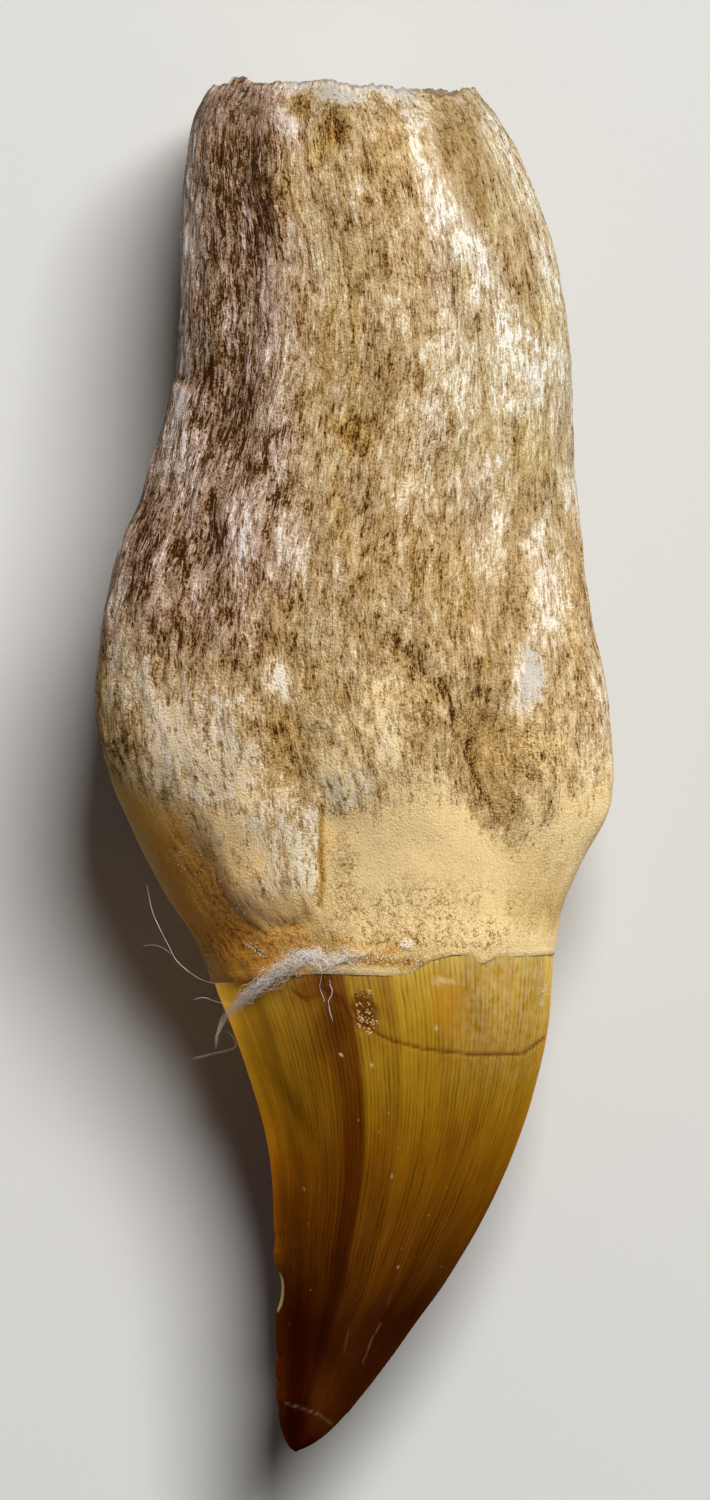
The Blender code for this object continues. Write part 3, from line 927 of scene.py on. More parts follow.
@dataclass
class EnamelEdge:
    """The line where the sandy collar ends and the enamel shows."""

    upper: Rows = (
        (-14.6, 47.0), (-12.0, 47.4), (-9.9, 47.7), (-5.5, 48.0), (-1.5, 47.9), (4.0, 47.8), (6.6, 48.1),
        (8.6, 49.2), (11.5, 49.9), (13.4, 49.9), (14.3, 48.9), (15.7, 49.6), (19.3, 49.8),
    )
    under: float = 48.0
    half_width: float = 17.2
    middle_x: float = 2.4

    def at(self, turn: Array) -> Array:
        """The edge's distance from the tip.

        Args:
            turn: the turns.

        Returns:
            Its distance at each of them.
        """
        above = np.interp(self.middle_x + self.half_width * np.cos(turn), *zip(*self.upper))
        below = self.under + 1.0 * np.cos(turn) + 0.35 * np.sin(5 * turn) + 0.2 * np.sin(11 * turn + 1)
        share = smoothstep(-0.25, 0.0, np.sin(turn))
        return blurred(share * above + (1 - share) * below, len(turn) / 500, 0, closed=True)


@dataclass
class Root:
    """The bony root, with the sandy collar that grips the crown. One closed skin.

    Its marks are: film, chalk, dark brown and ochre stains on the bone, polish where it is worn smooth, grit
    and dusted for loose sand, plate for worn bone and swell for a sandy bulge. The dark brown marks are
    partly painted shade, on the upper left flank and in creases, and the orange tint on the sand at the left
    and under the bulge is painted warm shade.
    """

    columns: int = 600
    side_rows: int = 146
    end_rows: int = 13
    edge_fade: float = 16.0
    rim_fade: float = 14.0
    lap: float = 0.16
    rim_chips: float = 0.35
    rim_rise: float = 0.75
    rim_peaks: Rows = (
        (0.9, -10.4, 0.8), (-0.9, 10.4, 2.2), (-0.5, 5.8, 0.5),
    )
    rim_reach: float = 13.0
    end_drop: float = 1.3
    rough_end: float = 6.0
    lip: Rows = ((1.6, -1.4), (0.35, -0.75), (0.05, -0.42), (0.0, -0.20))
    blur: float = 1.1
    around: float = 20.0
    tuck: float = 1.2
    sand_limit: Rows = (
        (-25.4, 69.0, 4.0), (-20.5, 66.0, 4.0), (-17.5, 63.5, 3.0), (-14.6, 59.6, 2.0), (-12.0, 55.4, 1.0),
        (-9.5, 52.7, 0.5), (-4.9, 53.3, 0.45), (-3.7, 55.0, 0.45), (-3.4, 64.0, 0.6), (-1.0, 63.6, 1.5),
        (0.9, 64.8, 4.0), (3.2, 66.0, 6.0), (7.3, 68.0, 8.0), (9.5, 66.5, 6.0), (12.5, 63.0, 3.0),
        (15.5, 61.4, 4.0), (19.0, 64.0, 7.0), (22.0, 66.0, 8.0), (25.8, 68.0, 8.0),
    )
    sand_limit_under: float = 60.0
    dusty: float = 16.0
    film: tuple[Patch, ...] = ovals(
        (-5.9, 136.5, 1.5, 0.6, 1.1), (-1.5, 135.6, 2.5, 0.9, 1.2, 10), (3.6, 135.9, 2.2, 0.8, 1.3, 12),
        (-7.1, 132.9, 1.2, 1.8, 0.9, -25), (-16.2, 127, 0.8, 4.5, 0.45), (0.6, 126.4, 0.8, 0.9, 0.9),
        (-12.3, 113.2, 1.1, 3.4, 0.65), (-9.3, 117.5, 1.2, 3.5, 0.5), (-7.4, 108, 1.5, 6, 0.42),
        (-16.8, 99, 1.7, 4.6, 0.42, 10), (-17.4, 120, 1.1, 9, 0.46), (-19.3, 95, 0.9, 4.5, 0.36, 12),
        (-17.6, 104.8, 0.6, 1.6, 0.55), (-11.3, 92, 1.4, 4.5, 0.52), (-6.8, 92.5, 1.4, 3.6, 0.72),
        (-8.6, 98, 0.9, 3, 0.5, 10), (-23.8, 90.8, 1.2, 0.6, 0.9, 10), (-23.5, 82, 1.2, 4.5, 0.5),
        (-22.3, 76.5, 1.8, 3.5, 0.5), (-7.8, 77, 1.7, 2.4, 0.75), (-13.5, 74.6, 4.2, 2.6, 0.65),
        (-18.4, 71.5, 3.2, 5.2, 0.85), (-13, 69, 5.5, 3.4, 0.82), (-13.6, 66.4, 4.6, 2, 0.95, -14),
        # (-10.6, 60.6) and (-1.4, 67) are partly painted light on the plate's lower left and the dip above
        # it, which face away from the light.
        (-10.6, 60.6, 7, 6.8, 0.8, -20), (-5.8, 62.3, 2.4, 3.6, 0.75), (-6.5, 57, 3.4, 3.4, 0.65),
        (-11, 134, 3.4, 2.4, 0.42), (-1.4, 67, 2.8, 3, 0.72), (3.3, 69.8, 1.2, 1.6, 0.5, 20),
        (0.1, 65.5, 1.2, 1.4, 0.5), (-5, 59, 1.8, 5.2, 0.7), (-18.6, 125.5, 0.8, 6, 0.6, -10),
        (2.8, 72, 1.8, 2.4, 0.55, 10), (6.6, 131, 1.7, 5.6, 0.85, -12), (9, 124.5, 1.8, 3.6, 0.85, -22),
        (11.2, 120.2, 1.9, 3.4, 0.8, -22), (12.4, 116.4, 1.9, 2.8, 0.8, -10), (15, 112.6, 2, 2.6, 0.8, -10),
        (16.6, 109.2, 4, 4, 0.78, -5), (15.4, 105.2, 2.6, 2.6, 0.74), (20.6, 109, 1.6, 6, 0.7),
        (8.3, 108, 1.7, 8, 0.58), (11, 104, 2.4, 5.6, 0.6), (14.2, 100, 1.4, 5, 0.66),
        (14.3, 94, 1.1, 3, 0.85), (13.3, 90, 1.8, 2.6, 0.5), (20.4, 118, 2, 8.5, 0.66, -6),
        (17.6, 127, 1.6, 5, 0.66, -16), (14.6, 131, 1.8, 4.4, 0.7, -20), (18.4, 103, 2, 3.4, 0.66),
        (5.5, 100, 2.2, 6, 0.36), (18, 91, 1.7, 3.2, 0.78), (19.6, 87, 2.2, 4, 0.76),
        (18.7, 83, 2, 3.2, 0.82), (17.5, 77.8, 1.5, 3.7, 0.85), (16.8, 74.4, 1.5, 1.1, 0.7),
        (22.2, 100, 1.4, 7, 0.6), (4.5, 116, 1.4, 6, 0.4, -5), (-3.8, 117.5, 1.4, 4, 0.4),
        (23.5, 74, 2, 8, 0.4),
    )
    chalk: tuple[Patch, ...] = ovals(
        (-5.9, 136.5, 1.5, 0.5, 0.9), (-1.5, 135.6, 2.5, 0.8, 0.9, 10), (3.6, 135.9, 2.2, 0.8, 0.9, 12),
        (-7.1, 132.9, 0.9, 1.4, 0.6, -25), (17.5, 77.5, 1.25, 3.4), (0.1, 65.6, 0.35, 0.5, 0.8),
        (3.4, 69.8, 0.4, 0.7, 0.8, 20),
    )
    umber: tuple[Patch, ...] = ovals(
        # The rows with X below -5 and at above 80, and (-17, 63.4), are partly painted shade where the flank
        # turns away from the light; the others are dark brown stains.
        (-11.6, 127, 3.9, 10.5, 0.85), (-9.6, 123.6, 1.7, 2.4), (-12.6, 114, 3.6, 7, 0.7),
        (-13.6, 103.5, 3.6, 7, 0.6, 20), (-14.5, 107.6, 2.2, 2.4, 1, 40), (-12, 104, 1.9, 3.4, 1, 32),
        (-9.4, 99.5, 1.5, 3.2, 0.9, 28), (-7.2, 96, 1.1, 2.2, 0.7, 25), (-14.6, 92.5, 1.8, 4.6, 0.62),
        (-17.8, 88, 1.4, 4.4, 0.65), (-13.4, 86.8, 1.4, 4, 0.45), (-21, 90, 1.5, 5.4, 0.9, 8),
        (-19.6, 104, 1.4, 4.5, 0.6, 10), (-17, 82.6, 3.6, 3.2, 0.45), (-11, 80.5, 2.6, 3.2, 0.34),
        (-22.4, 71, 1.8, 3.4, 0.5), (-17, 63.4, 1.3, 3.6, 0.5, -40), (-8, 70, 2.2, 3.2, 0.5),
        (-6, 104, 0.8, 3, 0.4, 10), (-5.7, 134, 1.2, 1.1, 0.45), (-1.9, 132, 1, 2.1, 0.6, -20),
        (-12, 50, 7.5, 2.4, 0.36, -10), (-13.4, 57.2, 2, 3.6, 0.12, -38), (19.6, 71.5, 2.6, 4.4, 0.24),
        (-1, 101.2, 4, 2.2, 0.26), (18.5, 56.5, 3.2, 4.2, 0.8), (3.4, 49.2, 5, 0.62, 1, 3),
        (12.9, 72, 2.3, 5.8, 0.2, -14), (14.8, 66, 1.6, 3.4, 0.2, -8), (7.6, 77.6, 1.1, 4.8, 0.36, -42),
        (22.6, 71, 2.4, 6.5, 0.24), (10, 129.5, 2.8, 6, 0.24, -15), (-4.6, 131, 2.4, 3.2, 0.22),
        (-15.6, 105.2, 1.6, 1.6, 0.5), (-17.5, 95.5, 1.6, 4, 0.45), (-4.6, 50.9, 4.4, 1.3, 0.78),
        (5, 50.3, 3.6, 1.6, 0.42),
    )
    ochre: tuple[Patch, ...] = ovals(
        (-1.9, 132.2, 1.1, 2.2, 1, 12), (-5.6, 134.4, 1.2, 1.1, 0.8), (-4, 129.6, 1.4, 1.4, 0.55),
        (3.4, 129.5, 2.2, 2.6, 0.5), (-6.5, 126.5, 2, 3, 0.45), (10.6, 131, 2.5, 5.5, 0.18, -8),
        (13.4, 125.4, 1.8, 3.6, 0.15, -18), (16.4, 119, 1.5, 5, 0.22, -18), (12.8, 113, 0.9, 1.8, 0.5, -30),
        (18.6, 113.8, 1.5, 1.3, 0.4), (17.7, 100.2, 1.8, 3.4, 0.7), (16.8, 94.6, 1.4, 3.2, 0.45),
        (12.8, 100.6, 1, 2.2, 0.55), (-0.1, 102.3, 1.9, 2.1, 1, -30), (-1.3, 93, 1.1, 4.2, 0.62, -8),
        (0, 110, 0.7, 8, 0.42), (-2.6, 112, 0.9, 6, 0.5), (-6.6, 71, 2.5, 4.4), (-3.4, 76.4, 3, 3.2, 0.62),
        (-8.2, 83.5, 2.4, 3.2, 0.35), (8, 88.5, 4, 4.6, 0.38), (2, 88, 3, 5.4, 0.34), (10.8, 85, 1, 3.6, 0.5),
        (13.1, 78.5, 1.2, 2, 0.72), (12.2, 74.4, 2, 1.8, 0.55), (14, 70.2, 3.2, 4.4),
        (15.2, 65.4, 1.3, 3.2, 0.85, -6), (10.6, 71.6, 0.9, 3, 0.8, 35), (21.8, 85, 1.3, 6.6, 0.45),
        # (-9.8, 60), (-14.8, 53.5) and (-12, 50) are partly painted warm shade on the plate's lower left and
        # the collar's left, which face away from the light.
        (-9, 56.6, 3.4, 2, 0.2, -25), (-9.8, 60, 5.6, 7, 0.66, -18), (3.5, 50.5, 0.9, 0.6, 0.72),
        (3.4, 49.2, 5, 0.6, 0.5, 3), (-6.5, 53, 2.2, 0.7, 0.7, 5), (2.2, 74.2, 1.6, 3.8, 0.35, 10),
        (-14.8, 53.5, 2.6, 6, 1, -35), (-12, 50, 3, 2.4, 0.7), (7, 70, 4, 2.6, 0.5), (8, 78, 9, 8, 0.3),
        (-5, 59.5, 2.2, 5, 0.62), (-1.4, 66.8, 3.2, 3.4, 0.72),
    )
    polish: tuple[Patch, ...] = ovals(
        (10.5, 129, 3.2, 6.8, 1, -15), (-11, 133.6, 4.4, 2.6, 0.8), (17, 98, 6, 32, 0.32),
        (-11.5, 59.5, 7, 6.5, 0.7, -30), (-17, 55, 3, 6, 0.5, -35),
    )
    grit: tuple[Patch, ...] = ovals(
        (13.8, 69.5, 3.4, 5.5, 1, -4), (15, 63.5, 1.5, 3, 0.9, -8), (5, 53.5, 7, 3, 0.8, -12),
        (11.5, 51.6, 3.5, 1.8, 0.9, -10), (-1, 56, 1.6, 4.5, 0.7), (-14.5, 57.5, 2, 5, 0.7, -40),
        (-12.5, 51, 6, 2.6, 0.55, -12), (-6.6, 71, 2.5, 4.4, 0.9), (17.7, 100.2, 1.8, 3.4, 0.7),
    )
    # Painted warm shade on the sand under the swell, which faces away from the light.
    foot_warm_shade: tuple[Patch, ...] = ovals(
        (-8.2, 53.6, 5.6, 2, 0.42, -16), (-11.5, 59, 4.6, 6, 0.1, -25), (-14.5, 58, 1.6, 4, 0.7, -35),
        (-2, 50.6, 4.6, 1.4, 0.4),
    )
    dusted: tuple[Patch, ...] = ovals(
        (-13.6, 59.4, 4.6, 7.6, 0.62, -24), (-9.6, 54, 6, 2, 0.85, -14), (-17, 60.5, 3, 4.5, 0.8, -35),
        (-12.5, 67.5, 6, 3.8, 0.4), (-18.5, 71.5, 3.4, 5, 0.38), (-1.5, 69.5, 3.6, 4, 0.48),
        (3, 72, 5, 6, 0.44), (18.5, 69, 3.8, 7, 0.46),
    )
    plate: Patch = Patch(-9.2, 60.5, 6.6, 7.2, lean=-14)
    swell: Patch = Patch(-10.0, 54.6, 4.8, 3.4, lean=-20)
    creases: tuple[Trace, ...] = (
        Trace(((-8.6, 52.6), (-6.5, 52.8), (-4.8, 53.5)), 0.20, 0.42),
        Trace(((-3.3, 65.0), (-3.4, 61.0), (-3.2, 57.0), (-3.6, 54.8)), 0.28, 0.8),
        Trace(((-17.9, 107.6), (-16.6, 106.9), (-15.6, 107.2), (-14.2, 108.2)), 0.35, 0.9),
        Trace(((4.5, 80.8), (6.6, 78.4), (9.2, 75.8)), 0.7, 0.55),
        Trace(((9.2, 75.8), (10.4, 71.5), (12.2, 67.0), (14.4, 63.0)), 0.45, 0.50),
        Trace(((12.2, 79.0), (12.5, 75.5)), 0.5, 0.5),
    )
    fibre_height: float = 0.065
    lump_height: float = 0.18
    pit_depth: float = 0.16
    wave_height: float = 0.10
    crumb_height: float = 0.022
    grit_height: float = 0.16
    shoulder_height: float = 0.13
    film_height: float = 0.04
    crease_depth: float = 0.30
    plate_worn: float = 0.45
    swell_height: float = 0.75
    break_height: float = 0.22

    def _rows(self, form: ToothForm, edge: EnamelEdge, turn: Array) -> Array:
        """Spreads the side's rows from the enamel's edge to the broken end's rim.

        Args:
            form: the tooth's form.
            edge: the enamel's edge.
            turn: the turn of each column.

        Returns:
            Each point's distance from the tip, rows by columns.
        """
        margin, rim = edge.at(turn), form.rim(turn)
        places = self.around * np.stack([np.cos(turn), 0 * turn, np.sin(turn)], axis=-1)
        chips = noise(61, places, 1.7, 3) + 0.35 * noise(62, places, 0.5)
        across = self.rim_reach * np.cos(turn)
        lifted = sum(peak * np.exp(-(((across - x) / half) ** 2)) for peak, x, half in self.rim_peaks)
        rim = rim + self.rim_rise + lifted * smoothstep(0.0, 0.3, np.sin(turn)) + self.rim_chips * chips
        plain = np.linspace(margin.mean(), rim.mean(), self.side_rows)[:, None]
        fade = np.clip(1 - (plain - margin.mean()) / self.edge_fade, 0, 1) ** 2
        rise = np.clip(1 - (rim.mean() - plain) / self.rim_fade, 0, 1) ** 2
        return plain + (margin - margin.mean())[None] * fade + (rim - rim.mean())[None] * rise

    def _side(self, form: ToothForm, at: Array, turn: Array) -> Skin:
        """The smooth side of the root, before any relief.

        Args:
            form: the tooth's form.
            at: each point's distance from the tip.
            turn: the turn of each column.

        Returns:
            The skin of the side.
        """
        radius = form.radii(at, turn)
        row_step = (at[-1].mean() - at[0].mean()) / self.side_rows
        column_step = 2 * math.pi * radius.mean() / self.columns
        radius = blurred(radius, self.blur / row_step, 0, closed=False)
        radius = blurred(radius, self.blur / column_step, 1, closed=True)
        waves = noise(5, self.around * np.stack([np.cos(turn), 0 * turn, np.sin(turn)], axis=-1), 3)
        overlap = self.lap + 0.14 * waves
        radius -= (form.step_height - overlap) * np.exp(-(((at - at[0]) / self.tuck) ** 2))
        return Skin(at, turn, form.points(at, turn, radius))

    def _sand(self, x: Array, at: Array, upper: Array, straight: Array) -> tuple[Array, Array]:
        """Where sand and dust of it cover the root.

        Args:
            x: each point's X.
            at: its distance from the tip.
            upper: how fully it is on the upper face.
            straight: its straightened place.

        Returns:
            How fully sand covers it, and how fully dust does beyond that.
        """
        xs, ats, soft = zip(*self.sand_limit)
        limit = upper * np.interp(x, xs, ats) + (1 - upper) * self.sand_limit_under
        softness = upper * np.interp(x, xs, soft) + (1 - upper) * 1.5
        limit = limit + 0.6 * noise(21, straight, 2.2, 3) + (1 - upper) * 4 * noise(22, straight, 9, 3)
        return smoothstep(1, -1, (at - limit) / softness), upper * smoothstep(self.dusty, 0, at - limit)

    def _dressed(self, skin: Skin) -> dict[str, Array]:
        """Works the relief into the side, and gives what its shader reads.

        Args:
            skin: the smooth side, which is changed.

        Returns:
            The stored masks by name.
        """
        straight = skin.straight()
        below = skin.at[-1][None] - skin.at
        near_end = smoothstep(self.rough_end, 0, below)
        warp = 0.5 * noise(3, straight, (4, 9, 4), 2)
        threads = straight + np.stack([warp, 1.2 * self.rough_end * near_end**2, warp], axis=-1)
        marks = self._marks(skin, threads, below)
        height, relief = self._relief(skin, threads, near_end, marks)
        skin.raise_by(height)
        del marks["crease"]
        marks["sand"] = most(marks["sand"], marks.pop("dusted"))
        return {"straight": threads, "relief": relief, **marks}

    def _marks(self, skin: Skin, threads: Array, below: Array) -> dict[str, Array]:
        """Draws what lies on the side and what stains it, and where light and shade are painted.

        Args:
            skin: the smooth side.
            threads: its straightened places, warped as the bone's fibres are.
            below: each point's distance from the broken end.

        Returns:
            How strong each mark is at each point, by name.
        """
        x, at = skin.points[..., 0], skin.at
        straight, upper = skin.straight(), skin.upper()
        under = 1 - upper
        sand, dust = self._sand(x, at, upper, straight)
        bone = 1 - sand
        crease = upper * within(self.creases, x, at)
        ragged = 0.35 * noise(31, straight, (1.6, 4.5, 1.6), 3) + 0.20 * noise(32, straight, (0.5, 1.5, 0.5))
        kinds = (
            self.film, self.chalk, self.umber, self.ochre, self.polish, self.grit, self.dusted, self.foot_warm_shade)
        film, chalk, umber, ochre, polish, grit, dusted, foot_warm_shade = (
            upper * within(patches, x, at, ragged, 0.6) for patches in kinds)

        rim = smoothstep(1.5, 0.5, below + 0.7 * noise(43, straight, 1.5, 3))
        rim *= smoothstep(-9.0, -6.5, x) * smoothstep(7.0, 5.5, x) * 0.75 + 0.25
        # Painted light: paler bone towards the collar, where the bulge faces away from the light, and a pale
        # strip along the upper left edge for light bounced from the floor. Dust pales it too.
        pale = 0.12 * upper * smoothstep(92.0, 78.0, at) + 0.12 * dust
        pale = pale + 0.45 * upper * smoothstep(-15.5, -17.5, x) * (at > 98)
        wild = smoothstep(-0.2, 0.7, noise(41, threads, (4, 14, 4), 3)) * under * 0.8
        film = most(film + pale, wild, rim)
        wild = smoothstep(0.0, 0.6, noise(55, threads, (6, 20, 6), 3)) * under * 0.9
        # Painted shade: creases are darkened.
        umber = most(umber, wild, 0.6 * crease) * (1 - rim)
        umber = most(umber * (1 - 0.6 * sand * smoothstep(52.0, 58.0, at)), 0.9 * crease)
        wild = smoothstep(0.0, 0.6, noise(56, threads, (5, 9, 5), 3)) * under * 0.7
        ochre = most(ochre, wild)
        chalk = most(chalk, 0.8 * smoothstep(0.7, 1.0, rim) * upper)
        ruddy = upper * smoothstep(-4.0, -13.0, x) * smoothstep(96.0, 84.0, at)
        ruddy = ruddy * (0.28 + 0.72 * smoothstep(63.0, 55.0, at))
        ruddy -= upper * smoothstep(4.0, 12.0, x) * smoothstep(88.0, 98.0, at)
        # Painted warm shade: sand on the collar's left, which faces away from the light, is tinted orange;
        # the foot marks do the same under the swell. Ochre on the sand is a stain.
        left_warm_shade = smoothstep(3.0, -14.0, x) * (0.4 + 0.6 * smoothstep(0.0, 0.4, np.sin(skin.turn)))
        rust = most(sand * most(0.95 * left_warm_shade, ochre), foot_warm_shade)
        ochre = most(ochre, 0.55 * dust * bone)
        # Bluish tint: painted cool shade on the left flank and underneath, and the bone's own cooler colour
        # on the right.
        left, right = smoothstep(-2.0, -11.0, x), 0.25 * smoothstep(3, 9, x)
        sides = most(left * smoothstep(73.0, 90.0, at), right * smoothstep(86, 96, at))
        cool = upper * sides + 0.5 * under + 0.5 * noise(57, threads, (4, 9, 4), 3) * smoothstep(68, 86, at)
        cool = np.clip(cool, 0, 1) * (1 - 0.8 * ochre)
        return {
            "film": film, "sand": sand, "umber": umber, "ochre": ochre, "polish": polish, "cool": cool,
            "grit": grit, "rust": rust, "chalk": chalk, "ruddy": ruddy, "dusted": dusted, "crease": crease,
        }

    def _relief(
        self, skin: Skin, threads: Array, near_end: Array, marks: Mapping[str, Array]
    ) -> tuple[Array, Array]:
        """Draws the bone's fibres, pits and lumps, the sand's grain and the breaks.

        Args:
            skin: the smooth side.
            threads: its straightened places, warped as the bone's fibres are.
            near_end: how near each point is to the broken end, from 0 to 1.
            marks: how strong each mark is at each point, by name.

        Returns:
            The height of each point, and how far it stands out to the shader, from about -1 to 1.
        """
        x, at, straight, upper = skin.points[..., 0], skin.at, skin.straight(), skin.upper()
        film, sand, umber, ochre, polish, grit, dusted, crease = (
            marks[name] for name in ("film", "sand", "umber", "ochre", "polish", "grit", "dusted", "crease"))
        bone = 1 - sand
        fine = noise(11, threads, (0.55, 2.4, 0.55), 2)
        coarse = 2 * smoothstep(-0.12, 0.12, noise(12, threads, (1.6, 4.5, 1.6), 3)) - 1
        lumps = noise(13, straight, (2.4, 3.6, 2.4), 3)
        pitted = smoothstep(-0.1, 0.5, noise(14, straight, (7, 10, 7)) + umber * 0.8 + ochre * 0.5)
        pits = smoothstep(0.25, 0.60, noise(15, threads, (0.60, 1.3, 0.60))) * (0.15 + 0.85 * pitted)
        crumbs = noise(16, straight, 0.7, 2)
        fibrous = bone * (1 - 0.75 * polish) * (1 - 0.6 * near_end) * (1 - 0.8 * dusted)
        height = fibrous * (
            self.fibre_height * fine + self.fibre_height * coarse + self.lump_height * lumps
            - self.pit_depth * pits)
        height += sand * (self.wave_height * noise(17, straight, 3, 3) + self.crumb_height * crumbs)
        height += grit * self.grit_height * crumbs
        shoulder = self.shoulder_height * bone * smoothstep(72, 60, at)
        height += shoulder + self.film_height * film * bone * (1 + crumbs)
        height -= self.crease_depth * crease + 0.05 * umber * bone + 0.10 * ochre * grit
        height -= self.plate_worn * upper * self.plate.mask(x, at, 0.0, 0.9)
        height += self.swell_height * upper * self.swell.mask(x, at, 0.0, 0.9)
        height += near_end * self.break_height * noise(18, straight, 1.4, 3)
        # The shader lightens what stands out by this and darkens pits and creases: painted shade.
        relief = fibrous * (0.8 * fine + 0.25 * coarse - 0.9 * pits) + (sand * 0.25 + grit) * crumbs * 0.8
        relief += near_end * 0.5 * crumbs - crease * 0.9
        return height, relief

    def _with_end(self, form: ToothForm, skin: Skin, stored: dict[str, Array]) -> tuple[Skin, Array]:
        """Adds the broken end's rings after the last row of the side.

        Args:
            form: the tooth's form.
            skin: the dressed side.
            stored: its masks, which get rows for the end.

        Returns:
            The side and end as one skin, and the point that closes the end.
        """
        rim = skin.points[-1]
        middle = rim.mean(axis=0)
        shares = np.linspace(0.975, 0.06, self.end_rows)[:, None]
        end = middle + (rim - middle) * shares[..., None]
        end[..., 1] = [[form.end_height(x, z) for x, _, z in ring] for ring in end]
        rough = noise(91, end, 2.6, 3) * 0.55 + noise(92, end, 0.8, 2) * 0.22
        end[..., 1] += rough * np.minimum(1, (1 - shares) * 8) - self.end_drop
        film = np.clip(0.55 + 0.5 * noise(93, end, 3, 3), 0, 1)
        added = {
            "straight": end, "relief": rough * 0.8, "film": film, "chalk": np.clip(film - 0.45, 0, 1),
            "umber": np.clip(0.6 * noise(94, end, 4, 3), 0, 1),
            "ochre": np.clip(0.9 * noise(95, end, 5, 3), 0, 1), "cool": 0.3 + 0 * film,
        }
        for name, values in stored.items():
            stored[name] = np.concatenate([values, added.get(name, 0 * film)])
        at = np.concatenate([skin.at, end[..., 1] - form.tip])
        return Skin(at, skin.turn, np.concatenate([skin.points, end])), end[-1].mean(axis=0)

    def _with_lip(self, form: ToothForm, skin: Skin, stored: dict[str, Array]) -> tuple[Skin, Array]:
        """Adds rows that turn the collar's edge in, down to the enamel and under it.

        Args:
            form: the tooth's form.
            skin: the side and end.
            stored: their masks, which get rows for the lip.

        Returns:
            The whole skin, and the point inside the crown that closes it.
        """
        edge = skin.points[0]
        x, z = form.middle(skin.at[0])
        outward = edge - np.stack([x, edge[:, 1], z], axis=-1)
        outward /= np.linalg.norm(outward, axis=-1, keepdims=True)
        rows = np.array([edge + outward * inward + [0, ahead - 0.10, 0] for ahead, inward in self.lip])
        for name, values in stored.items():
            stored[name] = np.concatenate([np.repeat(values[:1], len(rows), axis=0), values])
        at = np.concatenate([rows[..., 1] - form.tip, skin.at])
        return Skin(at, skin.turn, np.concatenate([rows, skin.points])), rows[0].mean(axis=0) + [0, 1.5, 0]

    def build(self, form: ToothForm, edge: EnamelEdge) -> bpy.types.Object:
        """Builds the root and dresses it.

        Args:
            form: the tooth's form.
            edge: the enamel's edge.

        Returns:
            The root.
        """
        turn = columns_round(self.columns)
        skin = self._side(form, self._rows(form, edge, turn), turn)
        stored = self._dressed(skin)
        skin, end_pole = self._with_end(form, skin, stored)
        skin, lip_pole = self._with_lip(form, skin, stored)
        return skin.to_object("tooth_root", (lip_pole, end_pole), stored, BoneFinish().material())


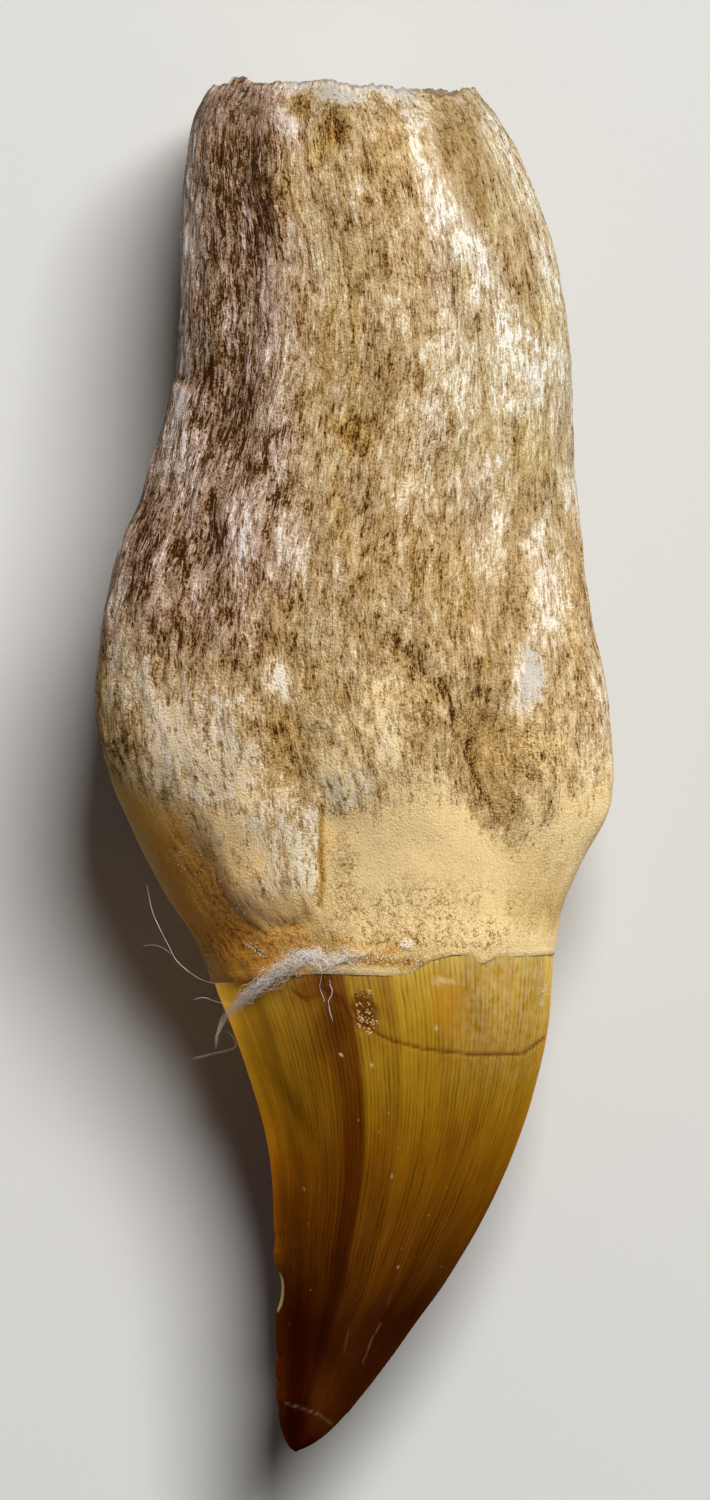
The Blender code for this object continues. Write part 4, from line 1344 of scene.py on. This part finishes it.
@dataclass
class Crown:
    """The enamel crown, from the tip to under the sandy collar. One closed skin."""

    columns: int = 440
    rows: int = 216
    top: float = 51.8
    length: float = 52.0
    first_row: float = 0.15
    # Brightness round the crown, from the right keel at 0 to the left keel at 1. Partly the enamel's own
    # bands and partly painted light and shade: the bright keel edges are painted light, and the dark band
    # near 0.6 is painted shade where the upper face turns from the light.
    bands_with_painted_light: Rows = (
        (0.000, 1.95), (0.035, 1.55), (0.10, 1.12), (0.25, 0.98), (0.31, 1.00), (0.40, 1.02), (0.466, 1.16),
        (0.484, 0.88), (0.583, 1.00), (0.600, 0.42), (0.650, 0.44), (0.680, 0.76), (0.73, 1.00),
        (0.775, 1.05), (0.83, 1.18), (0.885, 2.10), (0.955, 3.40), (1.000, 4.20),
    )
    dark_sides: float = 0.26
    first_step: float = 0.10
    full_step_row: int = 36
    blur: float = 1.3
    blur_round: float = 0.018
    sink: float = 0.4
    spread: float = 14.0
    ridge_height: float = 0.018
    swell_height: float = 0.09
    crack_depth: float = 0.13
    scratch_depth: float = 0.03
    chip_depth: float = 0.22
    crack: tuple[Trace, ...] = (
        Trace(((-3.6, 46.6), (-1.6, 45.6), (-0.4, 43.6), (1.6, 42.3), (3.6, 41.3), (6.6, 40.5), (11.6, 39.9),
               (14.6, 39.8), (17.0, 40.0), (18.9, 41.4)), 0.14, 0.9),
        Trace(((-1.4, 45.5), (-0.6, 43.4), (0.4, 42.6), (1.6, 42.1)), 0.30, 0.5),
        Trace(((-6.3, 46.2), (-5.0, 45.3), (-3.6, 45.9), (-3.3, 47.2)), 0.20, 0.6),
        Trace(((-2.9, 46.2), (-1.6, 44.9)), 0.35, 0.6),
    )
    scratches: tuple[Trace, ...] = (
        Trace(((-7.0, 4.9), (-5.5, 4.5), (-3.6, 3.8), (-2.3, 2.8)), 0.10, 0.15),
        Trace(((2.6, 13.0), (1.6, 11.2), (0.8, 8.9)), 0.10, 0.09),
        Trace(((-0.6, 12.5), (-1.1, 10.0)), 0.10, 0.05),
        Trace(((3.6, 16.0), (3.2, 14.6)), 0.10, 0.05),
    )
    stains: tuple[Patch, ...] = ovals(
        (9.2, 44.6, 1.5, 2.9, 1, -6), (8.6, 47.2, 1.6, 1.2, 0.6), (14.6, 48, 1.4, 1.5, 0.9),
        (-4.6, 46, 1.3, 1.3, 0.3),
    )
    scars: tuple[Patch, ...] = ovals(
        (9, 47.3, 1.3, 0.3, 0.45, 15), (8, 47, 0.5, 0.25, 0.35, 30), (18.9, 46.4, 0.45, 0.9, 0.7),
        (18.6, 45, 0.35, 0.4, 0.5), (-1.4, 39.9, 0.16, 0.16), (1.7, 38.9, 0.18, 0.18), (8.1, 42.6, 0.2, 0.14),
        (3.7, 27.7, 0.1, 0.2, 0.8), (-5.1, 26.3, 0.12, 0.12, 0.8), (4.3, 18.7, 0.12, 0.1, 0.8),
    )
    shades: tuple[Patch, ...] = ovals(
        (-6.9, 36, 0.8, 4.2, 0.36, -31), (-4.4, 46.2, 1.9, 1.3, 0.45), (-2.4, 43, 1.6, 2.6, 0.32, 10),
        (-6.2, 30, 0.7, 5, 0.25, -10), (-11, 47, 4, 1.6, 0.26), (2.6, 44, 3.4, 3.6, 0.14),
        (-6.3, 13, 1.8, 10, 0.56, -2), (-6.6, 24, 1.4, 5, 0.42, -4), (-3.6, 10.5, 1.5, 6, 0.34, -4),
        (-6.8, 2.8, 1.7, 2.6, 0.7), (-9.2, 39.5, 1.6, 6, 0.14, -26),
    )
    # Patches of painted light, mostly on the crown's left, which faces away from the light, and lighter olive
    # enamel near the tip.
    painted_light_patches: tuple[Patch, ...] = ovals(
        (-7.3, 42, 0.7, 4.6, 0.32, -19), (2.6, 19.5, 2.6, 4.4, 0.22, -12), (-3, 4.6, 1.4, 3.4, 0.75, -8),
        (-8.3, 20, 0.6, 10, 0.3), (-11.6, 44.6, 1.4, 3.4, 0.25, -24),
    )
    fading: tuple[float, float] = (9.0, 25.0)
    # How strong the painted sheen on the right of the crown's base is.
    haze: float = 0.25
    chip: Patch = Patch(0.9, 44.1, 1.2, 1.9, lean=-20)
    keel_bites: Rows = (
        (16.15, 1.95, 0.14), (9.6, 0.40, 0.20), (7.1, 0.35, 0.12), (19.4, 0.9, -0.16), (12.6, 0.5, 0.06),
        (21.6, 0.4, 0.10), (4.6, 0.6, 0.06),
    )
    bare_width: float = 0.34

    def _rows(self) -> Array:
        """Sets the rows close together at the tip, and evenly apart above it.

        Returns:
            Each row's distance from the tip.
        """
        growth = smoothstep(0, self.full_step_row, np.arange(self.rows))
        steps = self.first_step + (1 - self.first_step) * growth
        run = np.cumsum(steps)
        return self.first_row + (run - run[0]) / (run[-1] - run[0]) * (self.top - self.first_row)

    def _smooth(self, form: ToothForm, at: Array, turn: Array) -> Skin:
        """Smooths the form. Each face is smoothed by itself, so that the keels between them stay sharp.

        Args:
            form: the tooth's form.
            at: each point's distance from the tip.
            turn: the turn of each column.

        Returns:
            The skin before any relief.
        """
        radius = form.radii(at, turn) - self.sink
        radius = blurred(radius, self.blur / ((self.top / self.rows) * 1.2), 0, closed=False)
        left, right = (int(np.argmin(np.abs(turn - side))) for side in (math.pi, 0))
        smooth = radius.copy()
        for face in (np.arange(right, left + 1), np.arange(left, right + 1 + self.columns) % self.columns):
            smooth[:, face] = blurred(radius[:, face], self.columns * self.blur_round, 1, closed=False)
        return Skin(at, turn, form.points(at, turn, smooth), self.spread)

    def _bite_keel(self, skin: Skin) -> Array:
        """Takes the bites out of the left keel.

        Args:
            skin: the crown's skin, which is changed.

        Returns:
            Where bare tooth shows in the bites, from 0 to 1.
        """
        keel = smoothstep(-0.955, -0.998, np.cos(skin.turn))[None]
        rough = 0.05 * noise(201, skin.straight() * [0, 1, 0], 0.7, 3)
        depth = sum(d * np.exp(-(((skin.at - at) / half) ** 8)) for at, half, d in self.keel_bites)
        inward = skin.points[..., 0] - skin.points[..., 0].min(axis=1, keepdims=True)
        at, half, _ = self.keel_bites[0]
        width = self.bare_width * np.exp(-(((skin.at - at + 0.3) / half) ** 4))
        bare = smoothstep(0.08, -0.08, inward - width * (1 + 6 * rough)) * (np.abs(skin.at - at) < half)
        skin.points[..., 0] += keel * (depth + rough)
        return bare

    def _tone(self, x: Array, at: Array, turn: Array, ragged: Array) -> Array:
        """Draws bands round the crown, partly painted light on the keels and painted shade along the upper
        face, darker patches, patches of painted light, and darker sides.

        Args:
            x: each point's X.
            at: its distance from the tip.
            turn: the turn of each column.
            ragged: how far each point is pushed into or out of a mark.

        Returns:
            Each point's brightness, 1 where it is plain.
        """
        around = np.abs(np.mod(turn + math.pi, 2 * math.pi) - math.pi) / math.pi
        # Painted light on the keels and painted shade in the band along the upper face, with the enamel's own
        # bands.
        tone = np.broadcast_to(np.interp(around, *zip(*self.bands_with_painted_light)), at.shape)
        tone = np.where(tone < 0.95, 1 - (1 - tone) * (0.25 + 0.75 * smoothstep(*self.fading, at)), tone)
        tone = tone * (1 - within(self.shades, x, at, ragged, 0.9))
        tone = tone * (1 + within(self.painted_light_patches, x, at, ragged, 0.9))
        sides = smoothstep(0.25, 0.85, np.cos(turn)) + 0.35 * smoothstep(0.25, 0.85, -np.cos(turn))
        return tone * (1 - self.dark_sides * (sides * smoothstep(21.0, 13.0, at)))

    def _olive(self, x: Array, at: Array) -> Array:
        """Draws where the enamel leans to russet or to olive.

        Args:
            x: each point's X.
            at: its distance from the tip.

        Returns:
            0 where it is russet, up to 1 where it is olive.
        """
        olive = 0.50 - 0.26 * smoothstep(1.0, -4.0, x) * smoothstep(17.0, 23.0, at)
        olive -= 0.50 * smoothstep(-3.5, -5.0, x) * smoothstep(21.0, 15.0, at)
        olive += 0.27 * smoothstep(-3.5, 0.0, x) * smoothstep(3.0, 8.0, at) * smoothstep(34.0, 20.0, at)
        olive += 0.08 * smoothstep(0.0, 3.0, x) * smoothstep(20.0, 30.0, at)
        return olive + 0.80 * np.exp(-(((x + 2.9) / 1.5) ** 2) - ((at - 5.0) / 3.6) ** 2)

    def build(self, form: ToothForm) -> bpy.types.Object:
        """Builds the crown and dresses it.

        Args:
            form: the tooth's form.

        Returns:
            The crown.
        """
        turn = columns_round(self.columns)
        at = np.repeat(self._rows()[:, None], self.columns, axis=1)
        skin = self._smooth(form, at, turn)
        bare = self._bite_keel(skin)
        x, straight, upper = skin.points[..., 0], skin.straight(), skin.upper()
        ragged = 0.35 * noise(211, straight, (0.5, 0.9, 0.5), 3)
        crack = upper * within(self.crack, x + 0.10 * ragged, at + 0.25 * ragged)
        light = upper * within(self.scratches, x, at + 0.2 * ragged)
        stain = upper * within(self.stains, x, at, ragged, 0.6)
        scar = upper * within(self.scars, x, at, ragged)
        chip = upper * self.chip.mask(x, at, ragged)
        ridges = noise(221, straight * [1, 0.03, 1], (0.42, 1, 0.42))
        swells = noise(222, straight * [1, 0.12, 1], 4.5, 2)
        height = self.ridge_height * ridges + self.swell_height * swells * smoothstep(0, 6, at)
        height -= self.crack_depth * crack + self.scratch_depth * light + chip * (
            self.chip_depth + 0.12 * ragged) + self.scratch_depth * scar
        skin.raise_by(height * smoothstep(0, 1.0, at))
        # Painted sheen: paler enamel over the right of the crown's base.
        painted_sheen = upper * smoothstep(7.0, 15.0, x) * smoothstep(34.0, 48.0, at)
        stored = {
            "straight": straight, "along": at / self.length, "tone": self._tone(x, at, turn, ragged),
            "crack": most(crack, 0.9 * chip), "stain": stain, "pale": most(scar, light, self.haze * painted_sheen),
            "bare": bare, "olive": self._olive(x, at),
        }
        tip_x, tip_z = form.middle(np.array(0.0))
        tip = np.array([float(tip_x), form.tip, float(tip_z)])
        ends = (tip, skin.points[-1].mean(axis=0))
        return skin.to_object("tooth_crown", ends, stored, EnamelFinish().material())


class Crumb(Enum):
    """What a scattered crumb is made of, as the range of its tone."""

    GOLDEN_SAND = (0.25, 0.85)
    HONEY = (0.15, 0.56)
    PALE_SAND = (0.45, 0.90)
    DARK_SAND = (0.05, 0.60)
    CHALK = (0.85, 1.0)


@dataclass(frozen=True)
class Sprinkle:
    """Crumbs scattered over an oval on the upper face."""

    area: Patch
    count: int
    smallest: float
    largest: float
    made_of: Crumb


@dataclass
class SandGrains:
    """Loose grains of sand and crumbs of chalk stuck to the tooth, as one mesh."""

    seed: int = 77
    sunk: float = 0.25
    dent: float = 0.10
    squash: tuple[float, float] = (0.6, 1.15)
    overshoot: float = 1.15
    sprinkles: tuple[Sprinkle, ...] = (
        Sprinkle(Patch(1.1, 43.6, 0.9, 1.5, lean=-20), 80, 0.07, 0.17, Crumb.HONEY),
        Sprinkle(Patch(0.9, 46.0, 0.9, 0.4), 30, 0.06, 0.13, Crumb.HONEY),
        Sprinkle(Patch(13.6, 69.0, 3.4, 6.0, lean=-4), 1500, 0.04, 0.11, Crumb.DARK_SAND),
        Sprinkle(Patch(14.8, 63.5, 1.8, 3.0, lean=-8), 400, 0.04, 0.10, Crumb.DARK_SAND),
        Sprinkle(Patch(5.0, 53.3, 7.0, 3.2, lean=-12), 1300, 0.04, 0.10, Crumb.PALE_SAND),
        Sprinkle(Patch(11.5, 51.6, 3.5, 1.5, lean=-10), 420, 0.04, 0.11, Crumb.PALE_SAND),
        Sprinkle(Patch(-1.6, 57.0, 1.5, 5.0), 400, 0.04, 0.10, Crumb.GOLDEN_SAND),
        Sprinkle(Patch(-14.5, 57.0, 1.6, 4.5, lean=-40), 300, 0.04, 0.10, Crumb.GOLDEN_SAND),
        Sprinkle(Patch(-6.8, 70.5, 2.6, 4.4), 500, 0.04, 0.10, Crumb.DARK_SAND),
        Sprinkle(Patch(17.7, 100.2, 1.7, 3.2), 260, 0.04, 0.10, Crumb.DARK_SAND),
        Sprinkle(Patch(18.9, 46.2, 0.5, 1.2), 40, 0.04, 0.10, Crumb.PALE_SAND),
        Sprinkle(Patch(4.5, 49.3, 5.0, 0.5, lean=4), 110, 0.04, 0.10, Crumb.CHALK),
        Sprinkle(Patch(5.1, 51.0, 0.55, 0.45), 70, 0.07, 0.15, Crumb.CHALK),
        Sprinkle(Patch(-9.9, 50.4, 1.2, 0.28, lean=34), 60, 0.06, 0.12, Crumb.PALE_SAND),
    )

    def build(self, top: Top) -> bpy.types.Object:
        """Drops the grains onto what lies under them.

        Args:
            top: what they land on.

        Returns:
            The grains.
        """
        rng = np.random.default_rng(self.seed)
        corners, sides = self._ball()
        points: list[Array] = []
        tones: list[Array] = []
        for sprinkle in self.sprinkles:
            for _ in range(sprinkle.count):
                spot = self._landing(rng, sprinkle.area, top)
                if spot is None:
                    continue
                size = rng.uniform(sprinkle.smallest, sprinkle.largest) * MM
                shape = corners * rng.uniform(*self.squash, 3) + rng.normal(0, self.dent, corners.shape)
                turned = shape @ np.linalg.qr(rng.normal(size=(3, 3)))[0]
                points.append(turned * size + np.array(spot[0]) + np.array(spot[1]) * size * self.sunk)
                tones.append(np.full(len(shape), rng.uniform(*sprinkle.made_of.value)))
        faces = np.concatenate([sides + start * len(corners) for start in range(len(points))])
        places = np.concatenate(points)
        piece = add_object("sand_grains", places, faces.tolist(), GritFinish().material())
        store(piece.data, "tone", np.concatenate(tones))
        store(piece.data, "straight", places / MM)
        return piece

    @staticmethod
    def _ball() -> tuple[Array, Array]:
        """An icosahedron of radius 1.

        Returns:
            The corners and the faces.
        """
        g = (1 + math.sqrt(5)) / 2
        corners = np.array([
            (-1, g, 0), (1, g, 0), (-1, -g, 0), (1, -g, 0), (0, -1, g), (0, 1, g),
            (0, -1, -g), (0, 1, -g), (g, 0, -1), (g, 0, 1), (-g, 0, -1), (-g, 0, 1),
        ]) / math.hypot(1, g)
        near = np.linalg.norm(corners[:, None] - corners, axis=-1) < 1.1
        faces = np.array([face for face in combinations(range(12), 3) if near[np.ix_(face, face)].all()])
        for face in faces:
            if np.linalg.det(corners[face]) < 0:
                face[1:] = face[1:][::-1]
        return corners, faces

    def _landing(self, rng: np.random.Generator, area: Patch, top: Top) -> tuple[Vector, Vector] | None:
        """Where a grain dropped at random over an oval lands.

        Args:
            rng: the source of chance.
            area: the oval.
            top: what it may land on.

        Returns:
            The place and the surface's direction there, or nothing where it misses.
        """
        reach, way = math.sqrt(rng.uniform()) * self.overshoot, rng.uniform(0, 2 * math.pi)
        across, along = reach * math.cos(way) * area.half_width, reach * math.sin(way) * area.half_length
        lean = math.radians(area.lean)
        x = (area.x + across * math.cos(lean) + along * math.sin(lean)) * MM
        return top.under(x, (area.at - across * math.sin(lean) + along * math.cos(lean)) * MM + top.tip)


@dataclass(frozen=True)
class Hank:
    """Cotton fibres that run together. A place on their route is X, distance from the tip and free height."""

    route: Rows
    fibres: int
    spread: tuple[float, ...]
    lift: float = 0.3
    stray: float = 0.5
    whole: float = 0.4


@dataclass
class CottonWisp:
    """Lint caught at the enamel's edge: fine fibres as tubes, in one mesh."""

    seed: int = 9
    fibre_radius: float = 0.0115
    knots: int = 40
    sides: int = 4
    drift: float = 2.4
    drift_share: float = 0.9
    curl: float = 0.7
    curl_share: float = 0.45
    scatter: float = 0.42
    flatness: float = 0.55
    sunk: float = 2.5
    clearance: float = 1.2
    radii: tuple[float, float] = (0.7, 1.3)
    end_share: float = 0.35
    taper: float = 0.3
    hanks: tuple[Hank, ...] = (
        Hank(((1.6, 50.2), (-0.4, 49.5), (-2.9, 49.2), (-4.3, 49.9), (-6.0, 49.2), (-8.0, 47.8),
              (-10.5, 45.8), (-12.6, 44.0, 17.8), (-13.7, 41.9, 16.0), (-14.0, 40.1, 14.4)), 60,
             (0.7, 0.9, 0.9, 0.9, 1.0, 0.9, 0.7, 0.36, 0.18, 0.1), 0.3, 1.5, 0.22),
        Hank(((0.6, 50.0), (-2.8, 49.5), (-5.1, 49.4), (-7.4, 48.0)), 16,
             (0.8, 1.0, 1.1, 1.0), 0.3, 2.0, 0.3),
        Hank(((-7.0, 48.8), (-9.4, 46.8), (-11.6, 44.8), (-13.2, 42.8, 16.8)), 9,
             (0.7, 0.6, 0.4, 0.3), 0.3, 2.2, 0.5),
        Hank(((-12.6, 47.0), (-14.45, 47.0, 20.6), (-16.2, 47.8, 21.6), (-17.7, 49.1, 22.2),
              (-18.4, 50.3, 22.4), (-19.5, 52.4, 22.2), (-20.3, 54.3, 21.6), (-20.8, 56.8, 20.8)), 2,
             (0.10, 0.08, 0.07, 0.06, 0.05, 0.05, 0.04, 0.03), 0.3, 0.3, 1.0),
        Hank(((-18.3, 49.9, 22.3), (-19.7, 50.7, 21.6), (-21.1, 50.7, 20.6)), 1,
             (0.05, 0.06, 0.08), 0.3, 0.2, 1.0),
        Hank(((-11.2, 44.5), (-13.9, 45.1, 19.2), (-15.1, 45.5, 19.6), (-16.1, 45.3, 19.4)), 2,
             (0.12, 0.10, 0.06, 0.06), 0.3, 0.2, 1.0),
        Hank(((-3.2, 48.4), (-3.4, 46.6), (-3.0, 45.1)), 2, (0.14, 0.16, 0.08), 0.2, 1.6, 0.8),
        Hank(((-2.6, 47.6), (-2.3, 46.1), (-2.6, 45.1), (-2.2, 43.0)), 2,
             (0.14, 0.18, 0.12, 0.06), 0.2, 1.6, 0.8),
        Hank(((-13.2, 42.4, 16.8), (-12.2, 41.5, 16.3), (-12.0, 40.5, 14.8), (-13.9, 39.9, 12.8),
              (-15.8, 39.4, 10.8), (-16.6, 39.2, 9.8)), 4,
             (0.14, 0.14, 0.14, 0.16, 0.22, 0.24), 0.3, 0.8, 0.7),
    )

    def _route(self, hank: Hank, top: Top) -> Array:
        """Draws a smooth curve through a hank's places.

        Args:
            hank: the hank. Its places without a height are laid on the tooth.
            top: what it lies on.

        Returns:
            Points in millimetres, evenly numbered along the curve.
        """
        points = []
        for x, at, *height in hank.route:
            if not height:
                height = [top.under(x * MM, at * MM + top.tip)[0].z / MM + hank.lift]
            points.append((x, at + top.tip / MM, *height))
        knots = np.array(points)
        padded = np.concatenate([2 * knots[:1] - knots[1:2], knots, 2 * knots[-1:] - knots[-2:-1]])
        places = np.linspace(0, len(knots) - 1, self.knots * 3)
        index = np.minimum(places.astype(int), len(knots) - 2)
        t = (places - index)[:, None]
        p0, p1, p2, p3 = (padded[index + i] for i in range(4))
        bend, twist = (2 * p0 - 5 * p1 + 4 * p2 - p3) * t**2, (3 * p1 - p0 - 3 * p2 + p3) * t**3
        return 0.5 * (2 * p1 + (p2 - p0) * t + bend + twist)

    def _fibre(self, rng: np.random.Generator, hank: Hank, route: Array) -> Array:
        """One fibre of a hank: a stretch of its route, pushed off it by a wandering amount.

        Args:
            rng: the source of chance.
            hank: the hank.
            route: the hank's curve.

        Returns:
            The fibre's points.
        """
        share = min(1.0, hank.whole + (1 - hank.whole) * rng.uniform())
        first = rng.uniform(0, 1 - share)
        places = np.linspace(first, first + share, self.knots)
        marks, widths = np.arange(len(route)), np.arange(len(hank.spread))
        base = np.stack([np.interp(places * (len(route) - 1), marks, route[:, i]) for i in range(3)], -1)
        width = np.interp(places * (len(hank.spread) - 1), widths, hank.spread)[:, None]
        seed = int(rng.integers(1 << 30))
        drift = np.stack([noise(seed + i, base, self.drift) for i in range(3)], -1)
        curl = np.stack([noise(seed + 7 + i, base, self.curl) for i in range(3)], -1)
        offset = rng.normal(0, self.scatter, 3) * [1, 1, self.flatness]
        return base + width * (offset + self.drift_share * drift + hank.stray * self.curl_share * curl)

    def _lifted(self, line: Array, top: Top) -> Array:
        """Lays any stretch of a fibre that runs just under the tooth's surface over it.

        Args:
            line: a fibre's points, which are changed.
            top: what it lies on.

        Returns:
            The points.
        """
        for point in line:
            spot = top.under(point[0] * MM, point[1] * MM)
            floor = spot[0].z / MM if spot else math.inf
            clear = floor + self.fibre_radius * self.clearance
            if clear > point[2] > floor - self.sunk:
                point[2] = clear
        return line

    def _tube(self, line: Array, radius: float) -> Array:
        """A tube along a line, thinner at its ends.

        Args:
            line: the points along its middle.
            radius: its radius.

        Returns:
            Its corners, ring by ring.
        """
        along = np.gradient(line, axis=0)
        along /= np.maximum(np.linalg.norm(along, axis=1, keepdims=True), TINY)
        side = np.cross(along, [0.0, 0.3, 1.0])
        side /= np.maximum(np.linalg.norm(side, axis=1, keepdims=True), TINY)
        up = np.cross(side, along)
        turn = 2 * math.pi * np.arange(self.sides) / self.sides
        number = np.arange(len(line))
        taper = np.minimum(1, self.end_share + np.minimum(number, number[::-1]) * self.taper)
        ring = side[:, None] * np.cos(turn)[None, :, None] + up[:, None] * np.sin(turn)[None, :, None]
        return (line[:, None] + ring * (radius * taper)[:, None, None]).reshape(-1, 3)

    def _tube_faces(self, start: int) -> list[tuple[int, ...]]:
        """The faces of a tube.

        Args:
            start: the number of the tube's first corner.

        Returns:
            The faces, with both ends closed.
        """
        faces: list[tuple[int, ...]] = []
        last = start + (self.knots - 1) * self.sides
        for row in range(start, last, self.sides):
            for side in range(self.sides):
                a, b = row + side, row + (side + 1) % self.sides
                faces.append((a, b, b + self.sides, a + self.sides))
        faces.append(tuple(range(start + self.sides - 1, start - 1, -1)))
        faces.append(tuple(range(last, last + self.sides)))
        return faces

    def build(self, top: Top) -> bpy.types.Object:
        """Builds the fibres over the pieces that they lie on.

        Args:
            top: what they lie on.

        Returns:
            The wisp.
        """
        rng = np.random.default_rng(self.seed)
        points: list[Array] = []
        faces: list[tuple[int, ...]] = []
        for hank in self.hanks:
            route = self._route(hank, top)
            for _ in range(hank.fibres):
                line = self._lifted(self._fibre(rng, hank, route), top)
                faces += self._tube_faces(len(points) * self.knots * self.sides)
                points.append(self._tube(line, self.fibre_radius * rng.uniform(*self.radii)))
        piece = add_object("cotton_fibres", np.concatenate(points) * MM, faces, CottonFinish().material())
        piece.data.shade_smooth()
        return piece


# --- The studio ---
@dataclass(frozen=True)
class SoftBox:
    """A soft rectangular light, aimed at the tooth, with its long side along X. Its sizes are in metres."""

    name: str = "key"
    place: tuple[float, float, float] = (0.48, 0.86, 1.38)
    size: tuple[float, float] = (0.96, 0.38)
    power: float = 38.6
    colour: Colour = (1.0, 0.98, 0.965)

    def build(self) -> None:
        """Adds the light."""
        data = bpy.data.lights.new(self.name, "AREA")
        data.shape = "RECTANGLE"
        data.size, data.size_y = self.size
        data.energy, data.color = self.power, self.colour
        away = Vector(self.place).normalized()
        long_side = (Vector((1, 0, 0)) - away * away.x).normalized()
        light = bpy.data.objects.new(self.name, data)
        light.matrix_world = Matrix((long_side, away.cross(long_side), away)).transposed().to_4x4()
        light.location = self.place
        light.visible_camera = False
        bpy.context.scene.collection.objects.link(light)


@dataclass
class Studio:
    """A pale floor, soft light from the right and beyond the root, and a camera that looks straight down.

    Its sizes are in metres, apart from the sensor's.
    """

    view_height: float = 0.150
    view_centre: tuple[float, float] = (0.0, 0.00165)
    outline_height: float = 0.019
    camera_distance: float = 2.6
    sensor_height: float = 36.0
    floor_half: float = 0.6
    floor_drop: float = 0.00005
    fill_colour: Colour = (1.0, 0.82, 0.84)
    fill_strength: float = 0.05

    def _camera(self) -> None:
        """Adds the camera, which sees the view's height at the level of the tooth's outline."""
        data = bpy.data.cameras.new("camera")
        data.sensor_fit = "VERTICAL"
        data.sensor_height = self.sensor_height
        data.lens = self.sensor_height * self.camera_distance / self.view_height
        camera = bpy.data.objects.new("camera", data)
        camera.location = (*self.view_centre, self.camera_distance + self.outline_height)
        bpy.context.scene.collection.objects.link(camera)
        bpy.context.scene.camera = camera

    def _fill(self) -> None:
        """Lights everything evenly from the surroundings."""
        world = bpy.data.worlds.new("surroundings")
        world.use_nodes = True
        background = world.node_tree.nodes["Background"]
        background.inputs["Color"].default_value = (*self.fill_colour, 1.0)
        background.inputs["Strength"].default_value = self.fill_strength
        bpy.context.scene.world = world

    def _floor(self) -> None:
        """Adds the floor that the tooth lies on."""
        corners = self.floor_half * np.array([(-1, -1, 0), (1, -1, 0), (1, 1, 0), (-1, 1, 0)])
        floor = add_object("floor", corners, [(0, 1, 2, 3)], FloorFinish().material())
        floor.location.z = -self.floor_drop

    def build(self) -> None:
        """Adds the floor, the light and the camera."""
        self._floor()
        SoftBox().build()
        self._fill()
        self._camera()
        bpy.context.scene.view_settings.view_transform = "Standard"
        bpy.context.scene.view_settings.look = "None"


def attach(piece: bpy.types.Object, node: str | None) -> None:
    """Makes a piece ride on the tooth's body.

    Args:
        piece: the piece.
        node: the solid that it stands for, if any.
    """
    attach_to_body(piece, "root")
    if node:
        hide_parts(node)
    log.info("%s: %d points, %d faces", piece.name, len(piece.data.vertices), len(piece.data.polygons))


def main() -> None:
    """Builds the studio and the pieces, in order."""
    logging.basicConfig(level=logging.INFO, format="%(message)s")
    Studio().build()
    form = ToothForm(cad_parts["tooth"])
    root = Root().build(form, EnamelEdge())
    attach(root, "tooth")
    crown = Crown().build(form)
    attach(crown, "tooth")
    top = Top([root, crown])
    attach(SandGrains().build(top), None)
    attach(CottonWisp().build(top), "cotton_wisp")


if __name__ == "__main__":
    main()
